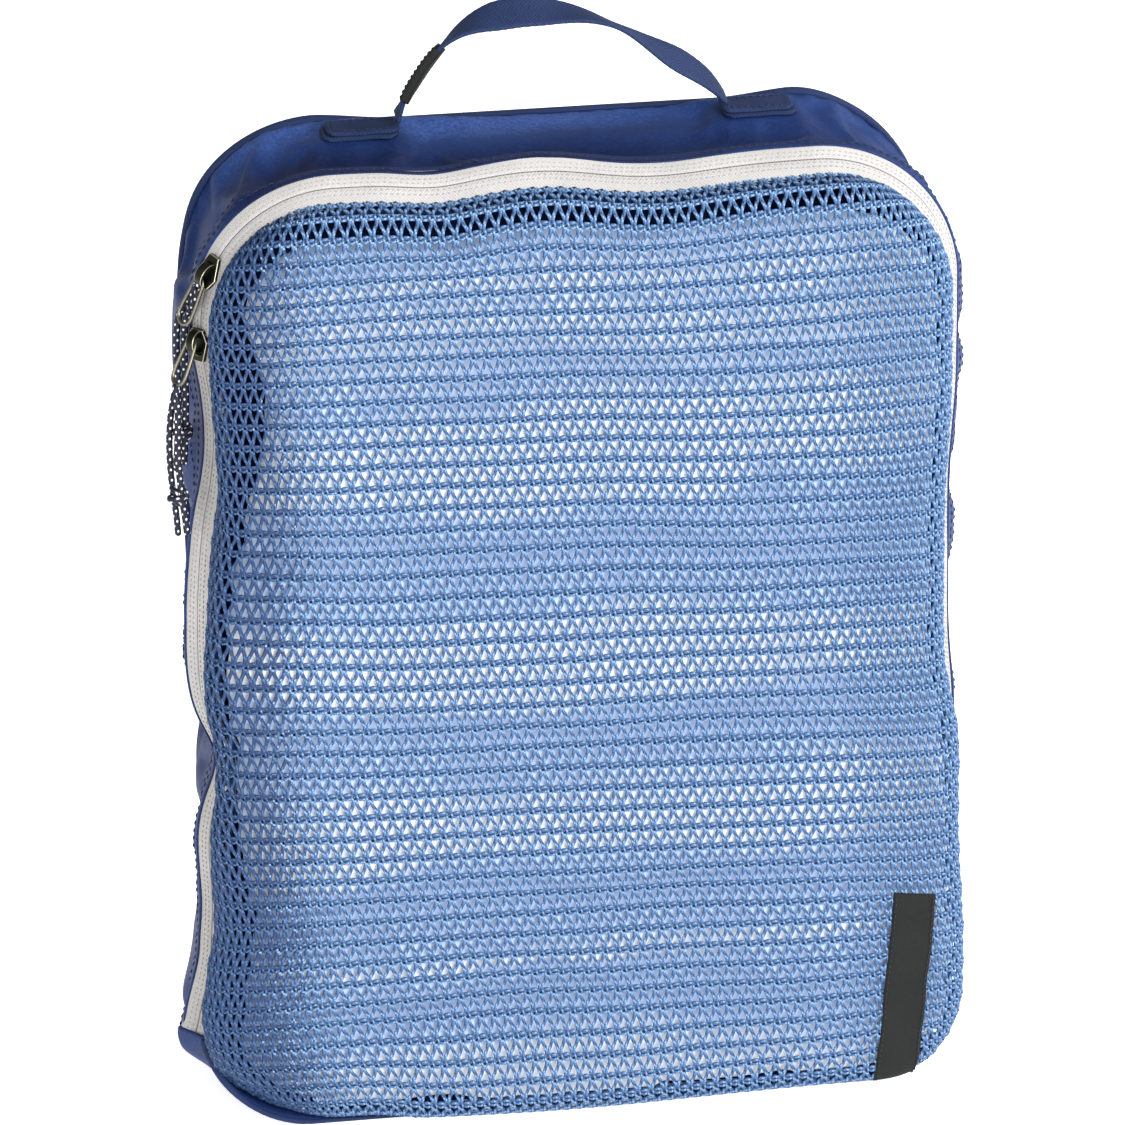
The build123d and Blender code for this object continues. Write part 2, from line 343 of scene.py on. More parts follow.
class Look:
    """One material and the nodes that feed it."""

    def __init__(self, name, base, roughness, **sockets):
        self.material = bpy.data.materials.new(name)
        self.material.use_nodes = True
        self.tree = self.material.node_tree
        self.shader = self.tree.nodes["Principled BSDF"]
        self.shader.inputs["Base Color"].default_value = base
        self.shader.inputs["Roughness"].default_value = roughness
        for socket, value in sockets.items():
            self.shader.inputs[socket.replace("_", " ")].default_value = value

    def node(self, kind, inputs=None, **settings):
        made = self.tree.nodes.new(kind)
        for key, value in settings.items():
            setattr(made, key, value)
        for key, value in (inputs or {}).items():
            if isinstance(value, bpy.types.NodeSocket):
                self.tree.links.new(value, made.inputs[key])
            else:
                made.inputs[key].default_value = value
        return made

    def link(self, socket, name):
        self.tree.links.new(socket, self.shader.inputs[name])

    def uv(self):
        return self.node("ShaderNodeUVMap", uv_map="cloth").outputs["UV"]

    def place(self):
        return self.node("ShaderNodeTexCoord").outputs["Object"]

    def scaled(self, vector, *scale):
        return self.node("ShaderNodeMapping", {"Vector": vector, "Scale": scale}).outputs["Vector"]

    def noise(self, vector, scale, detail=3.0):
        settings = {"Vector": vector, "Scale": scale, "Detail": detail}
        return self.node("ShaderNodeTexNoise", settings).outputs["Fac"]

    def math(self, operation, first, second):
        return self.node("ShaderNodeMath", {0: first, 1: second}, operation=operation).outputs[0]

    def plus(self, first, second):
        return self.math("ADD", first, second)

    def times(self, first, second):
        return self.math("MULTIPLY", first, second)

    def ramp(self, value, stops):
        made = self.node("ShaderNodeValToRGB", {"Fac": value})
        points = made.color_ramp.elements
        while len(points) < len(stops):
            points.new(0.5)
        for point, (place, shade) in zip(points, stops):
            point.position = place
            point.color = shade
        return made.outputs["Color"]

    def bump(self, height, distance, strength=1.0, under=None):
        settings = {"Height": height, "Distance": distance, "Strength": strength}
        if under is not None:
            settings["Normal"] = under
        return self.node("ShaderNodeBump", settings).outputs["Normal"]


# ---------------------------------------------------------------- camera, floor and light

VIEW_YAW = math.radians(7.14)
VIEW_PITCH = math.radians(23.59)
VIEW_ROLL = math.radians(-1.02)
VIEW_DISTANCE = 2.1
VIEW_TARGET = Vector((-0.0034, 0, 0.1872))
LENS = 193.2
SKY_STRENGTH = 0.42
# Name, place, size and watts of each lamp.
LAMPS = [("key", (0.9, -1.8, 1.5), 0.9, 44), ("left_fill", (-1.5, -1.3, 0.9), 1.2, 20),
         ("right_top", (1.4, 0.1, 1.1), 0.7, 24), ("front_fill", (0.5, -2.0, 0.95), 1.0, 34)]
FLOOR_GLOW = 0.6
FLOOR_REACH = 6.0
FLOOR_DROP = 0.4 * MM


def make_camera():
    back = Vector((-math.sin(VIEW_YAW) * math.cos(VIEW_PITCH),
                   -math.cos(VIEW_YAW) * math.cos(VIEW_PITCH), math.sin(VIEW_PITCH)))
    level = Vector((math.cos(VIEW_YAW), -math.sin(VIEW_YAW), 0))
    upward = back.cross(level)
    right = math.cos(VIEW_ROLL) * level + math.sin(VIEW_ROLL) * upward
    up = math.cos(VIEW_ROLL) * upward - math.sin(VIEW_ROLL) * level
    camera = bpy.data.objects.new("camera", bpy.data.cameras.new("camera"))
    camera.data.lens = LENS
    camera.data.sensor_width = 36
    camera.data.clip_end = 20
    camera.matrix_world = Matrix.Translation(VIEW_TARGET + VIEW_DISTANCE * back) @ Matrix((
        (right.x, up.x, back.x, 0), (right.y, up.y, back.y, 0), (right.z, up.z, back.z, 0), (0, 0, 0, 1)))
    bpy.context.scene.collection.objects.link(camera)
    bpy.context.scene.camera = camera


def make_floor():
    look = Look("floor_white", colour(250, 250, 250), 0.9, Emission_Color=(1, 1, 1, 1),
                Emission_Strength=FLOOR_GLOW)
    speckle = look.noise(look.place(), 9.0, 2.0)
    look.link(look.ramp(speckle, [(0.3, colour(250, 250, 250)), (0.7, colour(252, 252, 252))]), "Base Color")
    edge = np.linspace(-FLOOR_REACH, FLOOR_REACH, 5)
    points = np.stack(np.meshgrid(edge, edge, [0], indexing="ij"), -1).reshape(5, 5, 3)
    floor = grid_piece("floor", points)
    floor.location.z = -FLOOR_DROP
    floor.data.materials.append(look.material)
    floor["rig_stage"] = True


def area_light(name, place, size, power):
    lamp = bpy.data.objects.new(name, bpy.data.lights.new(name, "AREA"))
    lamp.data.shape = "DISK"
    lamp.data.size = size
    lamp.data.energy = power
    lamp.location = place
    lamp.rotation_euler = (Vector((0, 0, TOP / 2)) - Vector(place)).to_track_quat("-Z", "Y").to_euler()
    bpy.context.scene.collection.objects.link(lamp)


def make_light():
    world = bpy.data.worlds.new("studio")
    bpy.context.scene.world = world
    world.use_nodes = True
    sky = world.node_tree.nodes["Background"].inputs
    sky["Color"].default_value = (1, 1, 1, 1)
    sky["Strength"].default_value = SKY_STRENGTH
    for name, place, size, watts in LAMPS:
        area_light(name, place, size, watts)
    bpy.context.scene.view_settings.view_transform = "Standard"


# ---------------------------------------------------------------- materials

def grey(level):
    return (level, level, level, 1)


def painted_top_shading(look):
    """Painted shade and painted highlight on the top of the band: darker along the zip, lighter towards the
    back seam, and weaker towards the right.
    """
    parts = look.node("ShaderNodeSeparateXYZ", {"Vector": look.place()}).outputs
    rows = look.math("DIVIDE", look.plus(parts["Y"], 24 * MM), 54 * MM)
    front = look.ramp(rows, [(0.0, grey(0.08)), (0.38, grey(0.05)), (0.68, grey(0.9)), (1.0, grey(1.0))])
    level = look.ramp(look.math("DIVIDE", parts["Z"], TOP), [(0.94, grey(0)), (0.985, grey(1))])
    side = look.ramp(look.plus(look.times(parts["X"], 4.0), 0.5), [(0.5, grey(1)), (0.8, grey(0.3))])
    shift = look.times(look.math("SUBTRACT", front, 0.55), 0.75)
    return look.times(look.times(shift, level), side)


def navy_look(name, dark, light, twill, deep=None, painted_highlight=None):
    """Woven nylon: fine diagonal ribs, with broad soft changes of tone. When the last two colours are given,
    the top of the band also gets painted shade and a painted highlight that reach those colours.
    """
    look = Look(name, light, 0.5, Specular_IOR_Level=0.14)
    broad = look.noise(look.place(), 22.0, 4.0)
    fine = look.noise(look.place(), 900.0, 2.0)
    rib = look.node("ShaderNodeTexWave", {"Vector": look.uv(), "Scale": 0.628 / twill, "Distortion": 0.6,
                                          "Detail": 1.0}, bands_direction="DIAGONAL")
    mixed = look.plus(look.times(broad, 0.4), look.times(fine, 0.6))
    tone = look.plus(look.times(mixed, 0.88), look.times(rib.outputs["Fac"], 0.12))
    stops = [(0.3, dark), (0.7, light)]
    # Painted shade and painted highlight on the top of the band.
    if deep:
        tone = look.plus(tone, painted_top_shading(look))
        stops = [(0.0, deep)] + stops + [(1.0, painted_highlight)]
    look.link(look.ramp(tone, stops), "Base Color")
    weave = look.bump(rib.outputs["Fac"], 0.12 * MM, 0.6)
    look.link(look.bump(fine, 0.15 * MM, 0.5, weave), "Normal")
    return look.material


def tape_look(name, dark, light, rib_pitch):
    """Woven tape: a herringbone of fine ribs that lean one way and then the other."""
    look = Look(name, light, 0.75, Specular_IOR_Level=0.18)
    parts = look.node("ShaderNodeSeparateXYZ", {"Vector": look.uv()})
    along = look.times(parts.outputs["X"], 1 / rib_pitch)
    across = look.times(parts.outputs["Y"], 0.5 / rib_pitch)
    zigzag = look.math("PINGPONG", across, 1.0)
    rib = look.math("PINGPONG", look.plus(along, look.times(zigzag, 2.0)), 0.5)
    fine = look.noise(look.place(), 1400.0, 2.0)
    broad = look.noise(look.place(), 40.0, 3.0)
    tone = look.plus(look.times(rib, 0.5), look.times(fine, 0.35))
    tone = look.plus(tone, look.times(broad, 0.4))
    look.link(look.ramp(tone, [(0.25, dark), (0.75, light)]), "Base Color")
    look.link(look.bump(rib, 0.2 * MM, 0.7, look.bump(fine, 0.1 * MM, 0.5)), "Normal")
    return look.material


def thread_look(name, base):
    """Sewing thread or plastic filament: a plain colour with a fine twist."""
    look = Look(name, base, 0.55, Specular_IOR_Level=0.3)
    twist = look.noise(look.place(), 2500.0, 2.0)
    look.link(look.bump(twist, 0.08 * MM, 0.6), "Normal")
    return look.material


def garment_look(bands):
    """Thin folded white cotton, with painted blue shade along each crease and towards its top, and a faint
    painted glow. bands are the heights of the creases.
    """
    # The faint emission is a painted glow, as of light coming through the thin cloth.
    look = Look("folded_cotton", colour(228, 238, 252), 0.85, Specular_IOR_Level=0.2,
                Emission_Color=(0.8, 0.9, 1, 1), Emission_Strength=0.05)
    height = look.node("ShaderNodeSeparateXYZ", {"Vector": look.place()}).outputs["Z"]
    drift = look.noise(look.scaled(look.place(), 9, 9, 30), 1.0, 3.0)
    shifted = look.plus(height, look.times(look.math("SUBTRACT", drift, 0.5), 60 * MM))
    share = look.math("DIVIDE", shifted, TOP)
    # blue and shade are painted shade: the cloth along each crease and near the top, where it lies in
    # shadow.
    blue, white, shade = colour(188, 208, 240), colour(240, 244, 250), colour(140, 168, 214)
    stops = [(0.0, white), (0.86, white), (0.92, blue), (0.97, shade)]
    for crease in bands:
        stops += [(crease / TOP + shift, shade_there) for shift, shade_there in
                  ((-0.062, white), (-0.035, blue), (0.045, blue), (0.06, white))]
    look.link(look.ramp(share, sorted(stops)), "Base Color")
    fine = look.noise(look.place(), 600.0, 3.0)
    look.link(look.bump(fine, 0.25 * MM, 0.5), "Normal")
    return look.material


def metal_look(name, base, roughness):
    look = Look(name, base, roughness, Metallic=1.0)
    smear = look.noise(look.place(), 180.0, 2.0)
    look.link(look.ramp(smear, [(0.3, grey(roughness * 0.85)), (0.7, grey(roughness * 1.2))]), "Roughness")
    return look.material


def cord_look():
    """Dark braided sheath with white flecks, both held in the tube's own colours."""
    look = Look("flecked_braid", colour(28, 31, 45), 0.6, Specular_IOR_Level=0.25)
    look.link(look.node("ShaderNodeVertexColor", layer_name="tone").outputs["Color"], "Base Color")
    fibre = look.noise(look.place(), 2600.0, 2.0)
    look.link(look.bump(fibre, 0.08 * MM, 0.6), "Normal")
    return look.material


# The last two colours are the painted shade and the painted highlight on the top of the band.
NAVY = navy_look("navy_nylon", colour(15, 32, 72), colour(31, 54, 104), 1.0 * MM, colour(3, 10, 40),
                 colour(66, 88, 144))
LINING = navy_look("navy_inside", colour(24, 40, 84), colour(36, 56, 108), 1.0 * MM)
BINDING = tape_look("binding_weave", colour(14, 26, 56), colour(30, 46, 84), 0.8 * MM)
ZIP_TAPE = tape_look("zip_tape_weave", colour(142, 140, 138), colour(184, 182, 180), 1.1 * MM)
WEBBING = tape_look("webbing_weave", colour(10, 22, 50), colour(38, 54, 90), 1.4 * MM)
BLACK_WOVEN = tape_look("black_weave", colour(10, 11, 11), colour(27, 29, 28), 0.9 * MM)
NAVY_THREAD = thread_look("navy_thread", colour(12, 24, 62))
BLACK_THREAD = thread_look("black_thread", colour(24, 25, 25))
WHITE_THREAD = thread_look("white_thread", colour(150, 149, 146))
COIL_PLASTIC = thread_look("coil_plastic", colour(178, 176, 170))
YARN = thread_look("net_yarn", colour(60, 90, 128))
YARN_LIGHT = thread_look("net_yarn_light", colour(114, 142, 176))
YARN_DARK = thread_look("net_yarn_dark", colour(28, 50, 86))
GUNMETAL = metal_look("gunmetal", colour(44, 45, 40), 0.36)
WORN_EDGE = metal_look("worn_nickel", colour(190, 184, 160), 0.28)
WIRE_METAL = metal_look("wire_nickel", colour(116, 112, 98), 0.34)
CORD = cord_look()


# ---------------------------------------------------------------- the cords and their knots

CORD_RADIUS = 1.2 * MM
CORD_STEP = 0.2 * MM
CORD_SIDES = 36
FLECK_SPACING = 3.7 * MM
FLECKS_ROUND = 3
BRAID_RIDGE = 0.09 * MM
FLECK_LENGTH = 0.46 * MM
FLECK_WIDTH = 0.32 * MM
KNOT_REACH, KNOT_SWING, KNOT_RISE = 1.95 * MM, 1.05 * MM, 1.5 * MM
KNOT_TILT = math.radians(18), math.radians(25)

# The middles of the cords' strands as they hang, from the pull down.
UPPER_REAR = [(-0.1286, -0.0303, 0.3104), (-0.1293, -0.0299, 0.3071), (-0.1305, -0.0277, 0.3037),
              (-0.1332, -0.0251, 0.3006), (-0.1351, -0.0244, 0.2950), (-0.1357, -0.0244, 0.2845),
              (-0.1354, -0.0243, 0.2700), (-0.1362, -0.0237, 0.2556), (-0.1374, -0.0239, 0.2410)]
UPPER_FRONT = [(-0.1274, -0.0327, 0.3098), (-0.1285, -0.0325, 0.3068), (-0.1297, -0.0311, 0.3034),
               (-0.1314, -0.0282, 0.2999), (-0.1327, -0.0262, 0.2940), (-0.1331, -0.0254, 0.2835),
               (-0.1330, -0.0249, 0.2700), (-0.1336, -0.0233, 0.2566), (-0.1347, -0.0230, 0.2426)]
LOWER_REAR = [(-0.1372, -0.0342, 0.2743), (-0.1385, -0.0343, 0.2690), (-0.1396, -0.0347, 0.2620),
              (-0.1401, -0.0350, 0.2530), (-0.1399, -0.0354, 0.2440), (-0.1393, -0.0360, 0.2360),
              (-0.1386, -0.0363, 0.2290), (-0.1384, -0.0361, 0.2225)]
LOWER_FRONT = [(-0.1370, -0.0370, 0.2741), (-0.1366, -0.0374, 0.2690), (-0.1369, -0.0377, 0.2620),
               (-0.1374, -0.0379, 0.2530), (-0.1372, -0.0380, 0.2440), (-0.1366, -0.0383, 0.2360),
               (-0.1358, -0.0385, 0.2290), (-0.1355, -0.0383, 0.2235)]


def smooth_line(name, route):
    """Points read from a NURBS spline whose control points are the route."""
    curve = bpy.data.curves.new(name, "CURVE")
    curve.dimensions = "3D"
    curve.resolution_u = 16
    spline = curve.splines.new("NURBS")
    spline.points.add(len(route) - 1)
    for point, place in zip(spline.points, route):
        point.co = (*place, 1)
    spline.order_u = 3
    spline.use_endpoint_u = True
    holder = bpy.data.objects.new(name, curve)
    bpy.context.scene.collection.objects.link(holder)
    mesh = bpy.data.meshes.new_from_object(holder)
    line = np.array([v.co[:] for v in mesh.vertices])
    bpy.data.objects.remove(holder)
    return line


def even_line(line, step):
    """The same line with points an even step apart."""
    steps = run_steps(line)
    wanted = np.linspace(0, steps[-1], max(4, round(steps[-1] / step)))
    return read_at(wanted, steps, line), wanted


def braided_tube(name, line, closed=False):
    """A flecked cord: its skin rises and falls with the braid, and every few strands a white yarn shows."""
    line, steps = even_line(line, CORD_STEP)
    if closed:
        line, steps = line[:-1], steps[:-1]
    turn = np.linspace(0, 2 * math.pi, CORD_SIDES, endpoint=False)
    lean = steps[:, None] / (FLECK_SPACING / 2)
    ridge = np.cos(3 * turn[None] + math.pi * lean) * np.cos(3 * turn[None] - math.pi * lean)
    size = CORD_RADIUS + BRAID_RIDGE * (ridge - 0.5)
    if not closed:
        ends = np.minimum(steps, steps[-1] - steps)[:, None] / CORD_RADIUS
        size = size * np.sqrt(1 - np.clip(1 - ends, 0, 0.97) ** 2)
    rings = tube_points(line, 1.0, CORD_SIDES, closed)
    rings = line[:, None] + (rings - line[:, None]) * size[:, :, None]
    made = grid_piece(name, rings, closed, True) if closed else closed_piece(name, rings)
    paint_flecks(made, steps, turn)
    return made, line


def paint_flecks(made, steps, turn):
    """Colours the cord dark, with a white fleck in every other place of a regular pattern."""
    row = steps[:, None] / (FLECK_SPACING / 2)
    column = turn[None] * FLECKS_ROUND / (2 * math.pi) + 0.5 * (np.round(row) % 2)
    long = (row - np.round(row)) * (FLECK_SPACING / 2) / FLECK_LENGTH
    wide = (column - np.round(column)) * (2 * math.pi * CORD_RADIUS / FLECKS_ROUND) / FLECK_WIDTH
    fleck = np.clip(1.6 - 1.4 * (long ** 2 + wide ** 2), 0, 1).ravel()[:, None]
    dark, white = np.array(colour(17, 19, 34)), np.array(colour(226, 230, 236))
    shades = np.tile(dark, (len(made.data.vertices), 1))
    shades[:len(fleck)] = dark + (white - dark) * fleck
    layer = made.data.color_attributes.new("tone", "FLOAT_COLOR", "POINT")
    layer.data.foreach_set("color", shades.astype(np.float32).ravel())


def make_knot(name, node, body):
    """An overhand knot, pulled tight round both strands of a pull."""
    low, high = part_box(node)
    centre = np.array((low + high) / 2)
    t = np.linspace(0, 2 * math.pi, 160)
    reach = KNOT_REACH + KNOT_SWING * np.cos(3 * t)
    loop = np.stack([reach * np.cos(2 * t), reach * np.sin(2 * t), KNOT_RISE * np.sin(3 * t)], 1)
    tilt = np.array(Matrix.Rotation(KNOT_TILT[0], 3, "X") @ Matrix.Rotation(KNOT_TILT[1], 3, "Y"))
    knot, _ = braided_tube(name, centre + loop @ tilt.T, closed=True)
    return put(knot, body, CORD, [node])


def make_bight(name, first, last, top, body):
    """The turn of the cord between its two strands, round the pull's wire."""
    line = smooth_line(name, [first, (np.array(first) + top) / 2 + (0, 0, 1 * MM), top,
                              (np.array(last) + top) / 2 + (0, 0, 1 * MM), last])
    bight, _ = braided_tube(name, line)
    return put(bight, body, CORD)


def make_cord(name, node, route, body):
    cord, line = braided_tube(name, smooth_line(name, route))
    put(cord, body, CORD, [node])


def make_cords():
    for which, rear, front, top, rear_length, front_length in [
            ("upper", UPPER_REAR, UPPER_FRONT, (-0.1278, -0.0318, 0.3118), 0.0723, 0.0697),
            ("lower", LOWER_REAR, LOWER_FRONT, (-0.1370, -0.0355, 0.2765), 0.0522, 0.0507)]:
        body = f"pull_{which}"
        knot = make_knot(f"pull_knot_{which}", f"knot_{which}", body)
        bight = make_bight(f"pull_bight_{which}", rear[0], front[0], np.array(top), body)
        make_cord(f"pull_cord_{which}_rear", f"cord_{which}_rear", rear, body)
        make_cord(f"pull_cord_{which}_front", f"cord_{which}_front", front, body)


# ---------------------------------------------------------------- paths round the case

def walk(runs, step):
    """Rows of x, z and the outward direction's x, z along straight runs and arcs, about step apart."""
    rows = []
    for kind, first, last, *rest in runs:
        if kind == "line":
            first, last = np.array(first, float), np.array(last, float)
            count = max(2, round(np.linalg.norm(last - first) / step))
            share = np.arange(count)[:, None] / count
            heading = unit(last - first)
            rows.append(np.hstack([first + share * (last - first),
                                   np.tile([-heading[1], heading[0]], (count, 1))]))
        else:
            centre, radius = np.array(first, float), last
            begin, end = np.radians(rest)
            count = max(4, round(abs(end - begin) * radius / step))
            angle = begin + (end - begin) * np.arange(count) / count
            out = np.stack([np.cos(angle), np.sin(angle)], 1)
            rows.append(np.hstack([centre + radius * out, out]))
    return np.vstack(rows)


TAPE_EXTRA = 2.6 * MM


def top_share(x):
    """One over the middle of the top edge, falling to nothing at its corners."""
    return smooth_share(0.115 - np.abs(x), 0, 0.05)


# Smooth bumps: height in mm, middle and reach in metres.
ZIP_DIPS = (-1.9, -0.048, 0.014), (-2.6, 0.027, 0.025), (1.8, -0.012, 0.020)


def zip_sway(x):
    """How far the soft top edge of the case dips between the handle's feet, where the zip runs in waves."""
    return humps(x, *ZIP_DIPS)


def upper_runs(foot):
    """Up the left side from a height foot, over the top and down the right side."""
    x, z = HALF_WIDTH - TOP_RADIUS, TOP - TOP_RADIUS
    return [("line", (-HALF_WIDTH, foot), (-HALF_WIDTH, z)), ("arc", (-x, z), TOP_RADIUS, 180, 90),
            ("line", (-x, TOP), (x, TOP)), ("arc", (x, z), TOP_RADIUS, 90, 0),
            ("line", (HALF_WIDTH, z), (HALF_WIDTH, foot))]


def lower_runs():
    """From the right side's foot, round under the case, to the left side's foot."""
    x = HALF_WIDTH - BOTTOM_RADIUS
    return [("arc", (x, BOTTOM_RADIUS), BOTTOM_RADIUS, 0, -90), ("line", (x, 0), (-x, 0)),
            ("arc", (-x, BOTTOM_RADIUS), BOTTOM_RADIUS, 270, 180)]


ZIP_PATH = np.vstack([walk(upper_runs(FOOT_Z), 1.6 * MM), [[HALF_WIDTH, FOOT_Z, 1, 0]]])
ZIP_PATH[:, 1] += zip_sway(ZIP_PATH[:, 0]) * (ZIP_PATH[:, 1] > TOP - 1 * MM)
WHOLE_PATH = walk(upper_runs(BOTTOM_RADIUS) + lower_runs(), 2.6 * MM)


def path_line(path, inset, y):
    """A line along a path, a distance in from it and at a depth y."""
    x, z = path[:, 0] - inset * path[:, 2], path[:, 1] - inset * path[:, 3]
    return np.stack([x, np.full(len(path), y), z], 1)


def path_outward(path, y, share=1.0):
    """The direction off the cloth at each point of a path, leaning towards y."""
    return np.stack([share * path[:, 2], np.full(len(path), y), share * path[:, 3]], 1)


def off_path(path, out):
    """The x and z of rows of points that stand out from a path, none below the floor."""
    return (path[:, None, 0] + out * path[:, None, 2],
            np.maximum(path[:, None, 1] + out * path[:, None, 3], LOWEST))


def sweep(name, path, profile, closed_path=False):
    """A skin along a path. profile holds insets from the outline and y, and may differ along the path."""
    profile = np.broadcast_to(profile, (len(path),) + np.shape(profile)[-2:])
    x = path[:, None, 0] - profile[:, :, 0] * path[:, None, 2]
    z = path[:, None, 1] - profile[:, :, 0] * path[:, None, 3]
    made = grid_piece(name, np.stack([x, profile[:, :, 1], z], 2), closed_path, True)
    return face_outward(made, fill=not closed_path)


def zip_place(across, out):
    """Inset and y of a point of the zip band: across it from the case's edge, and out from its face."""
    return np.stack([across * math.sin(ZIP_TILT) - out * math.cos(ZIP_TILT),
                     ZIP_EDGE_Y - across * math.cos(ZIP_TILT) - out * math.sin(ZIP_TILT)], -1)


def rounded_strip(low, high, thick, bulge):
    """Across and out of a thin strip's section, with round edges."""
    face = np.linspace(low + thick / 2, high - thick / 2, 9)
    rise = bulge * (1 - ((face - face.mean()) / (np.ptp(face) / 2)) ** 2)
    turn = np.radians([45, 0, -45])
    right = np.stack([high - thick / 2 + thick / 2 * np.cos(turn), -thick / 2 + thick / 2 * np.sin(turn)], 1)
    left = np.stack([low + thick / 2 - thick / 2 * np.cos(turn), -thick / 2 - thick / 2 * np.sin(turn)], 1)
    top = np.stack([face, rise], 1)
    under = np.stack([face[::-1], rise[::-1] - thick], 1)
    return np.vstack([top, right, under, left])


# ---------------------------------------------------------------- the knitted net front

NET_COLUMN = 4.56 * MM
NET_ROW = 7.85 * MM
YARN_RADIUS = 0.62 * MM
RING_WIDE, RING_TALL, RING_LIFT, RING_YARN = 0.95 * MM, 1.22 * MM, 0.30 * MM, 0.42 * MM
CHAIN_YARN, BACKING_YARN, BACKING_DEPTH = 0.52 * MM, 0.55 * MM, 0.42 * MM
NET_RIM_RADIUS = TOP_RADIUS - (HALF_WIDTH - NET_HALF_WIDTH)
NET_FOOT_RADIUS = 31 * MM
FRONT_RUN = 10 * MM
NET_BANDS = 11
GATHER_FROM = 0.085
GATHER_EASE = 0.018
GATHER_LEFT = 0.48
GATHER_RIGHT = 0.30
# The tone of a yarn's faces in turn, for its twist: plain, light or dark. The next table is what each turns
# to on the left side, as painted shade where the net turns away from the light.
PLY = np.array([0, 0, 1, 0, 2])
PAINTED_SHADE_PLY = np.array([2, 0, 2])
FOOT_BULGE = 4.5 * MM
# Height, and how far the net's left side stands out there, in mm.
LEFT_PUSH = np.array([(0, -5.5), (15, -5), (30, 0.5), (45, 4.1), (60, 4.7), (75, 3), (90, 2.8), (105, 3),
                      (118, 4.6), (133, 7.6), (149, 2.5), (164, 1.9), (179, 1.4), (194, 0), (210, -0.7),
                      (225, -1.8), (240, 1), (255, 3), (270, 3), (285, 1), (310, 0.5)]).T * MM
NET_DROP = 2.6 * MM


def net_side_profile():
    """How the net turns from its seam to the front: distance along its section, inset, and y."""
    t = np.linspace(0, 1, 120)[:, None]
    corners = np.array([(0, RIM_Y), (-1.5 * MM, RIM_Y - 5 * MM), (-0.5 * MM, FRONT_Y), (FRONT_RUN, FRONT_Y)])
    curve = ((1 - t) ** 3 * corners[0] + 3 * t * (1 - t) ** 2 * corners[1]
             + 3 * t ** 2 * (1 - t) * corners[2] + t ** 3 * corners[3])
    return run_steps(curve), curve[:, 0], curve[:, 1]


SIDE_STEPS, SIDE_INSET, SIDE_Y = net_side_profile()
SIDE_RUN = SIDE_STEPS[-1]
NET_EASE = SIDE_RUN - FRONT_RUN
CROWN_RISE, LUMP_RISE, CREASE_DIP = 3.2 * MM, 1.1 * MM, 1.7 * MM
# Height and lean of each fold of the clothes, in metres.
CREASES = [(0.286, 0.004), (0.212, -0.003), (0.143, 0.003), (0.080, -0.003), (0.040, 0.002)]


def crease_height(crease, x):
    """How high a fold of the clothes is at x. It leans and wanders."""
    level, lean = crease
    return level + lean * np.sin(x / 0.045 + level * 60) + 0.0035 * np.sin(x / 0.019 + level * 210)


def fullness(x, z):
    """How far the filling pushes the front out at a point: a soft crown, with a dip along each crease."""
    crown = np.clip(1 - (x / 0.135) ** 4, 0, 1) * np.clip(1 - ((z - MIDDLE_Z) / 0.19) ** 4, 0, 1)
    rise = CROWN_RISE * crown + LUMP_RISE * waves(x, z, 11, 0.11)
    for crease in CREASES:
        depth = CREASE_DIP * hump(z, crease_height(crease, x), 0.0075)
        rise = rise - depth * (0.55 + 0.45 * np.sin(x / 0.031 + crease[0] * 90))
    return rise


def side_push(x, z):
    """How far the net's sides stand out past its straight outline."""
    half, foot = smooth_share(-z, -0.165, -0.125), smooth_share(-z, -0.10, -0.05)
    return np.where(x > 0, 0.4 * MM + 4.0 * MM * half + 2.2 * MM * foot, np.interp(z, *LEFT_PUSH))


def gathered(x, z):
    """Draws the net's columns together towards its sides."""
    over = np.maximum(np.abs(x) - GATHER_FROM, 0)
    share = np.where(x > 0, GATHER_RIGHT, GATHER_LEFT * (1 - 0.6 * smooth_share(z, 0.07, 0.14)))
    return np.sign(x) * (np.abs(x) - share * over ** 2 / (over + GATHER_EASE))


def stretched(z):
    """Spaces the net's rows a little wider in the middle of the front than at its top and foot."""
    return z + 2.4 * MM * np.sin(math.pi * (z - MIDDLE_Z) / MIDDLE_Z)


